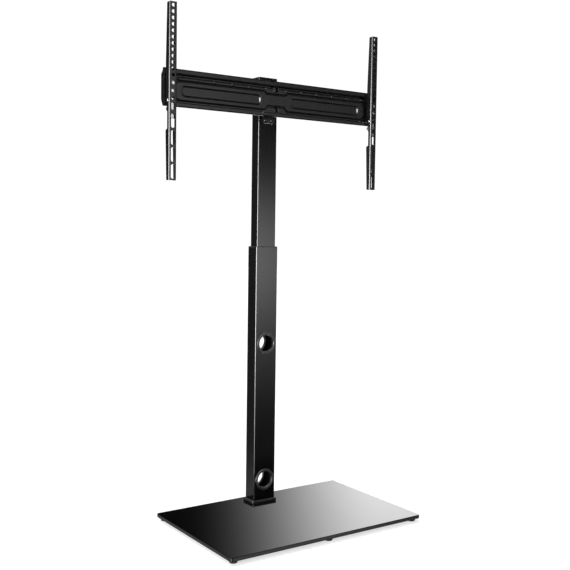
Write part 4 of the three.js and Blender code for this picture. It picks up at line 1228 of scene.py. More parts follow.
    def _top_cap(self) -> None:
        """Makes the cap on the sliding tube, with its plug."""
        low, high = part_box("top_cap")
        lid_height, plug_corner, seat = 3 * MM, 1.5 * MM, 1 * MM
        lid_low = high.z - lid_height
        lid = prism("lid", self._section(high.x - low.x, high.y - low.y, self.inner_corner), Axis.Z,
                    lid_low, high.z)
        eased(lid, 1.1 * MM, segments=4, angle=60)
        gap = 2 * (self.wall + FILM)
        plug_section = self._section(high.x - low.x - gap, high.y - low.y - gap, plug_corner)
        plug = prism("plug", plug_section, Axis.Z, low.z, lid_low + seat)
        worked(lid, Cut.JOIN, [plug])
        self.shop.hand_over(shaded(lid, angle=40), "column_cap", Body.MAST, BLACK_PLASTIC, ["top_cap"])


# Swivel between the column and the wall plate


@dataclass
class Swivel(Assembly):
    """Brackets, pivot and screws that join the wall plate to the column.

    Attributes:
        tip: Radius of an ear round the pivot.
        ear: Thickness of an ear.
        bolt: Radius of the pivot bolt.
        bore_gap: Clearance round a bolt.
        front_web: Thickness of the bracket on the column.
        rear_web: Thickness of the bracket behind the wall plate.
        corner: Corner radius of both brackets.
        screw_hole: Radius of the holes for screws.
        screw_shank: Radius of the screws and hub bolts.
        weld_nut: Radius of the weld nuts.
        rear_root: Half the width of an ear's root on the rear bracket.
        overlap: How deep an ear's root runs into its bracket.
    """

    tip: float = 8 * MM
    ear: float = 3.5 * MM
    bolt: float = 4 * MM
    bore_gap: float = 0.3 * MM
    front_web: float = 4 * MM
    rear_web: float = 3 * MM
    corner: float = 6 * MM
    screw_hole: float = 3.3 * MM
    screw_shank: float = 3 * MM
    weld_nut: float = 5.6 * MM
    rear_root: float = 20 * MM
    overlap: float = 1 * MM

    def build(self) -> None:
        """Makes all pieces of the swivel."""
        self._column_bracket()
        self._swivel_bracket()
        self._pivot()
        self._bracket_screws()
        self._hub_bolts()

    def _ear(self, root_half: float, root_y: float, low: float) -> bpy.types.Object:
        """Makes a bullet-shaped ear from a straight root to a round tip about the pivot.

        Args:
            root_half: Half the width of the root.
            root_y: Where the root lies.
            low: Lower face of the ear.

        Returns:
            The ear.
        """
        side = 1 if root_y > PIVOT.y else -1
        tip = arc((PIVOT.x, PIVOT.y), self.tip, 180, 180 + 180 * side, steps=24)
        outline = [(-root_half, root_y), *tip, (root_half, root_y)]
        return prism("ear", outline, Axis.Z, low, low + self.ear)

    def _bracket(self, web: bpy.types.Object, ears: list[bpy.types.Object],
                 drills: list[bpy.types.Object]) -> bpy.types.Object:
        """Welds ears to a web, drills it and breaks its edges.

        Args:
            web: The flat part of the bracket.
            ears: What is welded to it, which is used up.
            drills: What drills it, which is used up.

        Returns:
            The bracket.
        """
        reach = 40 * MM
        worked(web, Cut.JOIN, ears)
        pivot_drill = rod(self.bolt + self.bore_gap, -reach, reach, Axis.Z, PIVOT)
        worked(web, Cut.TAKE, [pivot_drill, *drills])
        return shaded(eased(web, 0.35 * MM, segments=2, angle=40), angle=38)

    def _column_bracket(self) -> None:
        """Makes the bracket on the column, whose tab shows below the wall plate."""
        low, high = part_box("column_bracket")
        front = high.y - self.front_web
        outline = rounded_rect(high.x - low.x, high.z - low.z, self.corner, (0, (low.z + high.z) / 2),
                               steps=12)
        web = prism("web", outline, Axis.Y, front, high.y)
        washers = [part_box(f"{level}_friction_washer") for level in ("lower", "upper")]
        levels = [washers[0][0].z - FILM - self.ear, washers[1][1].z + FILM]
        root_half = (high.x - low.x) / 2 - self.corner
        ears = [self._ear(root_half, front + self.overlap, level) for level in levels]
        drills = [rod(self.screw_hole, front - PAST, high.y + PAST, Axis.Y, Vector((place.x, 0, place.z)),
                      sides=32)
                  for place in self._screw_places()]
        piece = self._bracket(web, ears, drills)
        self.shop.hand_over(piece, "column_bracket_plate", Body.MAST, POWDER_COAT, ["column_bracket"])

    def _swivel_bracket(self) -> None:
        """Makes the bracket behind the wall plate, with its weld nuts."""
        low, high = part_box("swivel_bracket")
        rear = low.y + self.rear_web
        outline = rounded_rect(high.x - low.x, high.z - low.z, self.corner, (0, (low.z + high.z) / 2),
                               steps=12)
        web = prism("web", outline, Axis.Y, low.y, rear)
        washers = [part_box(f"{level}_friction_washer") for level in ("lower", "upper")]
        levels = [washers[0][1].z + FILM, washers[1][0].z - FILM - self.ear]
        extras = [self._ear(self.rear_root, rear - self.overlap, level) for level in levels]
        drills = []
        for level in ("upper", "lower"):
            place = Vector((0, 0, middle(f"hub_bolt_{level}").z))
            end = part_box(f"hub_bolt_{level}")[1].y
            extras.append(rod(self.weld_nut, rear - self.overlap, end, Axis.Y, place, HEX))
            drills.append(rod(self.screw_hole, low.y - PAST, end + PAST, Axis.Y, place, sides=32))
        piece = self._bracket(web, extras, drills)
        self.shop.hand_over(piece, "swivel_bracket_plate", Body.HEAD, POWDER_COAT, ["swivel_bracket"])

    def _pivot(self) -> None:
        """Makes the pivot bolt, its nut and the two friction washers."""
        centre = Vector((PIVOT.x, PIVOT.y, 0))
        head_height, edge, nut_edge, washer_edge = 4 * MM, 0.6 * MM, 0.4 * MM, 0.25 * MM
        socket_radius, socket_depth = 2.9 * MM, 2.4 * MM
        low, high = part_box("pivot_bolt")
        head_low = high.z - head_height
        radius = (high.x - low.x) / 2
        profile = [(0, low.z), (self.bolt - edge, low.z), (self.bolt, low.z + edge), (self.bolt, head_low),
                   (radius, head_low),
                   *arc((radius - 2 * edge, high.z - 2 * edge), 2 * edge, 0, 90, steps=5), (0, high.z)]
        bolt = turned("bolt", profile, Axis.Z, sides=64, centre=centre)
        socket = rod(socket_radius, high.z - socket_depth, high.z + PAST, Axis.Z, centre, HEX)
        worked(bolt, Cut.TAKE, [socket])
        self.shop.hand_over(shaded(bolt, angle=40), "pivot_screw", Body.MAST, ZINC, ["pivot_bolt"])
        low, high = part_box("pivot_nut")
        nut = rod((high.y - low.y) / 2, low.z, high.z, Axis.Z, centre, HEX)
        worked(nut, Cut.TAKE, [rod(self.bolt + self.bore_gap, low.z - PAST, high.z + PAST, Axis.Z, centre)])
        self.shop.hand_over(shaded(eased(nut, nut_edge, segments=2, angle=40)), "pivot_lock_nut", Body.MAST,
                            ZINC, ["pivot_nut"])
        for level in ("lower", "upper"):
            low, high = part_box(f"{level}_friction_washer")
            outer = (high.x - low.x) / 2
            inner = self.bolt + self.bore_gap
            ring = [(inner, low.z), (outer - washer_edge, low.z), (outer, low.z + washer_edge),
                    (outer, high.z - washer_edge), (outer - washer_edge, high.z), (inner, high.z)]
            washer = turned("washer", ring, Axis.Z, sides=64, centre=centre)
            self.shop.hand_over(shaded(washer, angle=50), f"{level}_washer", Body.MAST, NYLON,
                                [f"{level}_friction_washer"])

    @staticmethod
    def _screw_places() -> list[Vector]:
        """Gives the places of the four bracket screws."""
        return [middle(f"bracket_screw_{row}_{side}") for row in ("lower", "upper")
                for side in ("left", "right")]

    def _bracket_screws(self) -> None:
        """Makes the four pan-head screws of the column bracket."""
        low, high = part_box("bracket_screw_lower_left")
        radius = (high.x - low.x) / 2
        shank, point = self.screw_shank, 1 * MM
        head, bulge = 3.2 * MM, 0.999
        cross_length, cross_width, cross_depth, cross_corner = 5.4 * MM, 1.3 * MM, 1.7 * MM, 0.3 * MM
        length = high.y - low.y
        dome = [(radius * math.sin(math.radians(a)), head - head * math.cos(math.radians(a)) * bulge)
                for a in range(20, 91, 10)]
        profile = [(0, dome[0][1]), *dome, (radius, head), (shank, head), (shank, length - point),
                   (shank - point, length), (0, length)]
        screw = turned("screw", profile, Axis.Y, sides=64)
        arms = [prism("slot", rounded_rect(wide, high, cross_corner, (0, 0), steps=3), Axis.Y, -PAST,
                      cross_depth)
                for wide, high in ((cross_length, cross_width), (cross_width, cross_length))]
        shaded(worked(screw, Cut.TAKE, arms), angle=40)
        places = self._screw_places()
        first = places[0].copy()
        first.y = low.y
        steps = [places[1] - places[0], places[2] - places[0]]
        screws = self.shop.rows.lay("screws", screw, first, steps, [2, 2], self.shop.material(DARK_ZINC))
        names = [f"bracket_screw_{row}_{side}" for row in ("lower", "upper") for side in ("left", "right")]
        self.shop.hand_over(screws, "bracket_screws", Body.MAST, DARK_ZINC, names)

    def _hub_bolts(self) -> None:
        """Makes the two bolts at the bottom of the hub's cups."""
        low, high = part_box("hub_bolt_lower")
        radius = (high.x - low.x) / 2
        shank = self.screw_shank
        head, edge = 3.6 * MM, 0.7 * MM
        socket_radius, socket_depth = 2.9 * MM, 2 * MM
        length = high.y - low.y
        profile = [(0, 0), *arc((radius - edge, edge), edge, -90, 0, steps=5), (radius, head),
                   (shank, head),
                   (shank, length - edge), (shank - edge, length), (0, length)]
        bolt = turned("bolt", profile, Axis.Y, sides=64)
        socket = rod(socket_radius, -PAST, socket_depth, Axis.Y, sides=HEX)
        shaded(worked(bolt, Cut.TAKE, [socket]), angle=40)
        first = middle("hub_bolt_lower")
        step = middle("hub_bolt_upper") - first
        first.y = low.y
        bolts = self.shop.rows.lay("bolts", bolt, first, [step, Vector()], [2, 1],
                                   self.shop.material(DARK_ZINC))
        self.shop.hand_over(bolts, "hub_bolts", Body.HEAD, DARK_ZINC, ["hub_bolt_lower", "hub_bolt_upper"])


# Wall plate


def ramp(distance: np.ndarray, width: float) -> np.ndarray:
    """Turns a signed distance, less than zero inside, into a smooth share from 0 outside to 1 inside."""
    share = np.clip(0.5 - distance / width, 0, 1)
    return share * share * (3 - 2 * share)


def rect_distance(x: np.ndarray, y: np.ndarray, centre: Point2, half: Point2, corner: float) -> np.ndarray:
    """Gives the signed distance to a rectangle with round corners.

    Args:
        x: Places along the first direction.
        y: Places along the second direction.
        centre: Middle of the rectangle.
        half: Half its width and half its height.
        corner: Corner radius.

    Returns:
        The distances, less than zero inside.
    """
    across = np.abs(x - centre[0]) - (half[0] - corner)
    along = np.abs(y - centre[1]) - (half[1] - corner)
    outside = np.hypot(np.maximum(across, 0), np.maximum(along, 0))
    return outside + np.minimum(np.maximum(across, along), 0) - corner


@dataclass
class Tab:
    """A tab that narrows from its base to its tip.

    Attributes:
        base: Level of its base, down from the top edge.
        tip: Level of its tip.
        base_half: Half its width at the base.
        tip_half: Half its width at the tip.
    """

    base: float
    tip: float
    base_half: float
    tip_half: float

    def distance(self, x: np.ndarray, drop: np.ndarray) -> np.ndarray:
        """Gives the signed distance to the tab.

        Args:
            x: Places along the plate.
            drop: Levels below the top edge.

        Returns:
            The distances, less than zero inside.
        """
        rise = self.tip - self.base
        slope = (self.tip_half - self.base_half) / rise
        edge = self.base_half + slope * (drop - self.base)
        side = (np.abs(x) - edge) / math.hypot(1, slope)
        past_tip = (drop - self.tip) * math.copysign(1, rise)
        past_base = (self.base - drop) * math.copysign(1, rise)
        return np.maximum(np.maximum(side, past_tip), past_base)


@dataclass
class WallPlate(Assembly):
    """Rolled and pressed plate that carries the arms. Levels are measured down from its top edge.

    Attributes:
        sheet: Thickness of the sheet.
        bend: Radius of the rolled bends, at the middle of the sheet.
        lip_front: Front of the lips, forward from the rear plane.
        back_front: Front of the back sheet.
        rail_front: Front of the rail.
        panel_front: Front of the raised panel.
        shoulder: Width of the slope round a pressed form.
        lip_drop: How far the upper lip hangs down in front.
        lip_depth: From the front of the lip to its back wall.
        groove_top: Level of the groove's upper edge.
        groove_foot: Level of the groove's lower edge.
        rail_foot: Level of the rail's lower edge.
        rail_step: Half the height of the slope below the rail.
        foot_lip: Height of the lip at the foot.
        pressed_from: Level from which the sheet is pressed.
        panel_top: Level of the panel's upper edge.
        panel_bottom: Level of its lower edge.
        panel_half: Half the panel's length.
        panel_corner: Its corner radius.
        pad_inner: Inner end of a recess in the panel.
        pad_outer: Its outer end.
        pad_margin: From the panel's edge to the recess.
        pad_corner: Corner radius of the recess.
        pad_slope: Width of the slope round the recess.
        pad_depth: Depth of the recess.
        tab_margin: From a tab to the panel.
        bead_top: Level of the bead's upper edge.
        bead_bottom: Level of its lower edge.
        bead_half: Half the bead's length.
        bead_rise: How far the bead stands out.
        bead_slope: Width of the slope round it.
        cup_inner: Inner radius of the cups round the hub bolts.
        cup_outer: Their outer radius.
        bolt_hole: Radius of the hole in a cup.
        dimple_radius: Radius of a stop dimple.
        dimple_rise: How far a dimple stands out.
        dimple_level: Level of the dimples.
        dimple_first: Place of the first dimple along the plate.
        dimple_last: Place of the last one.
        dimples: Number of dimples on each side.
        tabs: The tabs that point at the hub bolts.
    """

    sheet: float = 2 * MM
    bend: float = 2.6 * MM
    lip_front: float = 17 * MM
    back_front: float = 9 * MM
    rail_front: float = 13 * MM
    panel_front: float = 13.5 * MM
    shoulder: float = 2.6 * MM
    lip_drop: float = 11 * MM
    lip_depth: float = 7 * MM
    groove_top: float = 12.5 * MM
    groove_foot: float = 19.5 * MM
    rail_foot: float = 27 * MM
    rail_step: float = 0.9 * MM
    foot_lip: float = 8 * MM
    pressed_from: float = 24 * MM
    panel_top: float = 31 * MM
    panel_bottom: float = 77 * MM
    panel_half: float = 309 * MM
    panel_corner: float = 19 * MM
    pad_inner: float = 50 * MM
    pad_outer: float = 286 * MM
    pad_margin: float = 10.5 * MM
    pad_corner: float = 9.6 * MM
    pad_slope: float = 4.6 * MM
    pad_depth: float = 4.4 * MM
    tab_margin: float = 3 * MM
    bead_top: float = 79.5 * MM
    bead_bottom: float = 83.5 * MM
    bead_half: float = 318 * MM
    bead_rise: float = 1.2 * MM
    bead_slope: float = 1.6 * MM
    cup_inner: float = 7.5 * MM
    cup_outer: float = 9.3 * MM
    bolt_hole: float = 3.4 * MM
    dimple_radius: float = 3.2 * MM
    dimple_rise: float = 2.3 * MM
    dimple_level: float = 22.9 * MM
    dimple_first: float = 32 * MM
    dimple_last: float = 297 * MM
    dimples: int = 6
    tabs: list[Tab] = field(default_factory=lambda: [
        Tab(24 * MM, 33.5 * MM, 45 * MM, 27 * MM),
        Tab(86.5 * MM, 70 * MM, 40 * MM, 27 * MM),
    ])

    def __post_init__(self) -> None:
        """Takes the plate's place from the frame."""
        low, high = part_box("wall_plate")
        self.rear = high.y
        self.top = high.z
        self.half = high.x
        self.height = high.z - low.z
        self.hubs = [self.top - middle(f"hub_bolt_{level}").z for level in ("upper", "lower")]

    def build(self) -> None:
        """Makes the plate, its dimples and its end caps."""
        self._plate()
        self._dimples()
        for side, sign in (("left", -1), ("right", 1)):
            self._end_cap(side, sign)

    def place(self, x: float, forward: float, drop: float) -> Vector:
        """Gives the point at a place on the plate."""
        return Vector((x, self.rear - forward, self.top - drop))

    def _section(self) -> list[Point2]:
        """Gives the middle line of the rolled section.

        Returns:
            Its points, as (forward, drop).
        """
        half = self.sheet / 2
        front = self.lip_front - half
        fold = self.lip_front - self.lip_depth
        back = self.back_front - half
        rail = self.rail_front - half
        corners = [(front, self.lip_drop), (front, half), (fold, half), (fold, self.groove_top),
                   (half, self.groove_top), (half, self.groove_foot), (rail, self.groove_foot),
                   (rail, self.rail_foot - self.rail_step), (back, self.rail_foot + self.rail_step),
                   (back, self.height - half), (front, self.height - half),
                   (front, self.height - self.foot_lip)]
        return softened(corners, self.bend, steps=5, closed=False)

    def _rows(self) -> list[Point2]:
        """Gives the section with extra points where the sheet is pressed.

        Returns:
            Its points, as (forward, drop).
        """
        back = self.back_front - self.sheet / 2
        fine = 0.6 * MM
        coarse = 2.4 * MM
        same = 0.01 * MM
        bands = [(28.6, 36, fine), (36, 39, coarse / 2), (39, 44.5, fine), (44.5, 63, coarse),
                 (63, 90.5, fine)]
        stations = self._stations([(low * MM, high * MM, step) for low, high, step in bands])
        section = self._section()
        rows: list[Point2] = []
        for here, following in zip(section, section[1:] + [None]):
            rows.append(here)
            if following is None:
                continue
            on_sheet = abs(here[0] - back) < same and abs(following[0] - back) < same
            if on_sheet:
                inside = [drop for drop in stations if here[1] + fine / 3 < drop < following[1] - fine / 3]
                rows += [(back, drop) for drop in inside]
        return rows

    @staticmethod
    def _stations(bands: Sequence[tuple[float, float, float]]) -> list[float]:
        """Lists places along bands that each have a step of their own.

        Args:
            bands: Start, end and step of each band, one after the other.

        Returns:
            The places, with both ends.
        """
        places: list[float] = []
        for low, high, step in bands:
            count = max(1, round((high - low) / step))
            places += [low + (high - low) * k / count for k in range(count)]
        return places + [bands[-1][1]]

    def _columns(self) -> list[float]:
        """Lists places along the plate, close together where the sheet is pressed.

        Returns:
            The places, from the left end to the right.
        """
        bands = [(0, 50, 1.2), (50, 64, 1), (64, 272, 4), (272, 312, 1), (312, 322, 1.6)]
        right = self._stations([*[(low * MM, high * MM, step * MM) for low, high, step in bands],
                                (322 * MM, self.half, 4 * MM)])
        return [-x for x in right[:0:-1]] + right

    def _relief(self, x: np.ndarray, drop: np.ndarray) -> np.ndarray:
        """Gives how far forward the middle of the pressed back sheet lies.

        Args:
            x: Places along the plate.
            drop: Levels below the top edge.

        Returns:
            Distances forward from the rear plane.
        """
        back = self.back_front - self.sheet / 2
        middle_drop = (self.panel_top + self.panel_bottom) / 2
        half_height = (self.panel_bottom - self.panel_top) / 2
        panel = ramp(rect_distance(x, drop, (0, middle_drop), (self.panel_half, half_height),
                                   self.panel_corner),
                     self.shoulder)
        pads = np.zeros_like(x)
        for sign in (-1, 1):
            centre = (sign * (self.pad_inner + self.pad_outer) / 2, middle_drop)
            half = ((self.pad_outer - self.pad_inner) / 2, half_height - self.pad_margin)
            pads += ramp(rect_distance(x, drop, centre, half, self.pad_corner), self.pad_slope)
        raised = np.zeros_like(x)
        for tab in self.tabs:
            distance = tab.distance(x, drop)
            panel = panel * (1 - ramp(distance - self.tab_margin - self.shoulder / 2, self.shoulder))
            raised = np.maximum(raised, ramp(distance, self.shoulder))
        bead_middle = (0, (self.bead_top + self.bead_bottom) / 2)
        bead_half = (self.bead_half, (self.bead_bottom - self.bead_top) / 2)
        bead = ramp(rect_distance(x, drop, bead_middle, bead_half, bead_half[1]),
                    self.bead_slope) * (1 - raised)
        panel_rise = self.panel_front - self.back_front
        tab_rise = self.rail_front - self.back_front
        return back + panel_rise * panel - self.pad_depth * pads + tab_rise * raised + self.bead_rise * bead

    def _plate(self) -> None:
        """Makes the sheet with its holes, the cups round the hub bolts and the flange folded behind it."""
        rows = np.array(self._rows())
        columns = np.array(self._columns())
        x, forward = np.meshgrid(columns, rows[:, 0])
        drop = np.repeat(rows[:, 1][:, None], len(columns), axis=1)
        foot_room = 1.2 * self.bend
        under_lip = 11.5 * MM
        pressed = (drop > self.pressed_from) & (forward < self.rail_front)
        pressed &= drop < self.height - foot_room - self.sheet
        forward = np.where(pressed, np.maximum(forward, self._relief(x, drop)), forward)
        cut = (self.cup_inner + self.cup_outer) / 2
        shape = bmesh.new()
        grid = [[shape.verts.new(self.place(x[j, i], forward[j, i], drop[j, i]))
                 for i in range(len(columns))]
                for j in range(len(rows))]
        for j in range(len(rows) - 1):
            for i in range(len(columns) - 1):
                middle_x = (columns[i] + columns[i + 1]) / 2
                middle_drop = (rows[j][1] + rows[j + 1][1]) / 2
                reach = min(math.hypot(middle_x, middle_drop - hub) for hub in self.hubs)
                if reach > cut or drop[j, i] < under_lip:
                    shape.faces.new((grid[j][i], grid[j][i + 1], grid[j + 1][i + 1], grid[j + 1][i]))
        bmesh.ops.delete(shape, geom=[v for v in shape.verts if not v.link_faces], context="VERTS")
        self._round_holes(shape, cut)
        plate = from_bmesh("sheet", shape)
        if self._faces_rear(plate):
            plate.data.flip_normals()
        wall = plate.modifiers.new("sheet", "SOLIDIFY")
        wall.thickness = self.sheet
        wall.offset = 0
        applied(plate)
        shaded(plate, angle=50)
        whole = joined("wall_plate",
                       [plate, self._cup(self.hubs[0]), self._cup(self.hubs[1]), self._flange()])
        self.shop.hand_over(whole, "pressed_wall_plate", Body.HEAD, POWDER_COAT, ["wall_plate"])

    @staticmethod
    def _faces_rear(plate: bpy.types.Object) -> bool:
        """Tells whether the largest face looks to the rear."""
        best = max(plate.data.polygons, key=lambda face: face.area)
        return best.normal.y > 0

    def _round_holes(self, shape: bmesh.types.BMesh, radius: float) -> None:
        """Moves the rim of each hub hole onto a true circle.

        Args:
            shape: The sheet.
            radius: Radius of the holes.
        """
        nearest, farthest = 0.5 * radius, 1.35 * radius
        for edge in shape.edges:
            if len(edge.link_faces) != 1:
                continue
            for vert in edge.verts:
                drop = self.top - vert.co.z
                for hub in self.hubs:
                    away = Vector((vert.co.x, drop - hub))
                    if nearest < away.length < farthest:
                        away = away.normalized() * radius
                        vert.co.x = away.x
                        vert.co.z = self.top - (away.y + hub)

    def _cup(self, drop: float) -> bpy.types.Object:
        """Makes the deep cup round a hub bolt.

        Args:
            drop: Level of the bolt.

        Returns:
            The cup.
        """
        proud = 0.25 * MM
        front = self.rail_front + proud
        lip = 0.8 * MM
        profile = [(self.bolt_hole, 0), (self.cup_outer, 0), (self.cup_outer, front - lip),
                   *arc((self.cup_outer - lip, front - lip), lip, 0, 90, steps=5),
                   *arc((self.cup_inner + lip, front - lip), lip, 90, 180, steps=5),
                   *arc((self.cup_inner - lip, self.sheet + lip), lip, 0, -90, steps=4)[:-1],
                   (self.bolt_hole, self.sheet)]
        place = self.place(0, 0, drop)
        cup = turned("cup", [(radius, -along) for radius, along in profile], Axis.Y, sides=96, centre=place)
        return shaded(cup, angle=35)

    def _flange(self) -> bpy.types.Object:
        """Makes the flange that is folded back behind the foot of the sheet.

        Returns:
            The flange.
        """
        lift, turn, reach = 0.2 * MM, 12.5 * MM, 20.5 * MM
        half = self.sheet / 2
        line = softened([(self.back_front - half, self.height - half - lift), (half, self.height - turn),
                         (half, self.height - reach)], self.bend, steps=6, closed=False)
        outline = [(self.rear - forward, self.top - drop) for forward, drop in strip(line, self.sheet)]
        return shaded(eased(prism("flange", outline, Axis.X, -self.half, self.half), 0.3 * MM, segments=2,
                            angle=50), angle=40)

    def _dimples(self) -> None:
        """Makes the rows of stop dimples on the rail."""
        radius, rise, root = self.dimple_radius, self.dimple_rise, 0.5 * MM
        angles = [math.radians(a) for a in range(0, 91, 10)]
        dome = [(radius * math.cos(a), rise * math.sin(a)) for a in angles[:-1]]
        profile = [(0, root), (radius, root), *[(r, -along) for r, along in dome], (0, -rise)]
        pitch = (self.dimple_last - self.dimple_first) / (self.dimples - 1)
        parts = []
        for sign in (-1, 1):
            template = shaded(turned("dimple", profile, Axis.Y, sides=40), angle=60)
            first = self.place(sign * self.dimple_first, self.rail_front, self.dimple_level)
            parts.append(self.shop.rows.lay("dimples", template, first,
                                            [Vector((sign * pitch, 0, 0)), Vector()],
                                       [self.dimples, 1], self.shop.material(POWDER_COAT)))
        self.shop.hand_over(joined("dimples", parts), "rail_stop_dimples", Body.HEAD, POWDER_COAT)

    def _end_cap(self, side: str, sign: int) -> None:
        """Makes a moulded end cap with ribs on its face.

        Args:
            side: Left or right.
            sign: -1 on the left, 1 on the right.
        """
        low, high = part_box(f"plate_end_cap_{side}")
        outer = high.x if sign > 0 else low.x
        inner = sign * (self.half + FILM)
        rib_rise, rib_root = 0.7 * MM, 1.4 * MM
        rib_length, rib_width, rib_corner = 11 * MM, 1.6 * MM, 0.7 * MM
        rib_place, rib_first, rib_pitch, ribs_in_row = 10.5 * MM, 20 * MM, 5 * MM, 13
        plug_front, plug_rear = 6.7 * MM, 2.3 * MM
        plug_top, plug_foot, plug_length = 21.5 * MM, 68.5 * MM, 9 * MM
        corner = 2.4 * MM
        web = outer - sign * rib_rise
        nose = self.lip_front - 8 * MM
        outline = softened([(self.lip_front, 0), (nose, 0), (nose - 1 * MM, 7 * MM), (0, 15.5 * MM),
                            (0, 77.5 * MM),
                            (nose / 2, 86.5 * MM), (nose, self.height), (self.lip_front, self.height)],
                            corner, steps=6)
        points = [(self.rear - forward, self.top - drop) for forward, drop in outline]
        cap = eased(prism("cap", points, Axis.X, inner, web), 0.5 * MM, segments=3, angle=50)
        plug_outline = [(self.rear - forward, self.top - drop) for forward, drop in
                        ((plug_front, plug_top), (plug_rear, plug_top), (plug_rear, plug_foot),
                         (plug_front, plug_foot))]
        plug = prism("plug", plug_outline, Axis.X, inner - sign * plug_length, inner + sign * PAST)
        rib = prism("rib", rounded_rect(rib_length, rib_width, rib_corner, (0, 0), steps=4), Axis.X,
                    min(0, -sign * rib_root), max(0, -sign * rib_root))
        shaded(eased(rib, 0.3 * MM, segments=2, angle=50))
        first = self.place(outer, rib_place, rib_first)
        ribs = self.shop.rows.lay("ribs", rib, first, [Vector((0, 0, -rib_pitch)), Vector()],
                                  [ribs_in_row, 1],
                                  self.shop.material(CAP_PLASTIC))
        whole = joined("cap", [shaded(cap, angle=40), shaded(plug), ribs])
        self.shop.hand_over(whole, f"end_cap_{side}", Body.HEAD, CAP_PLASTIC, [f"plate_end_cap_{side}"])


# Arms and latches


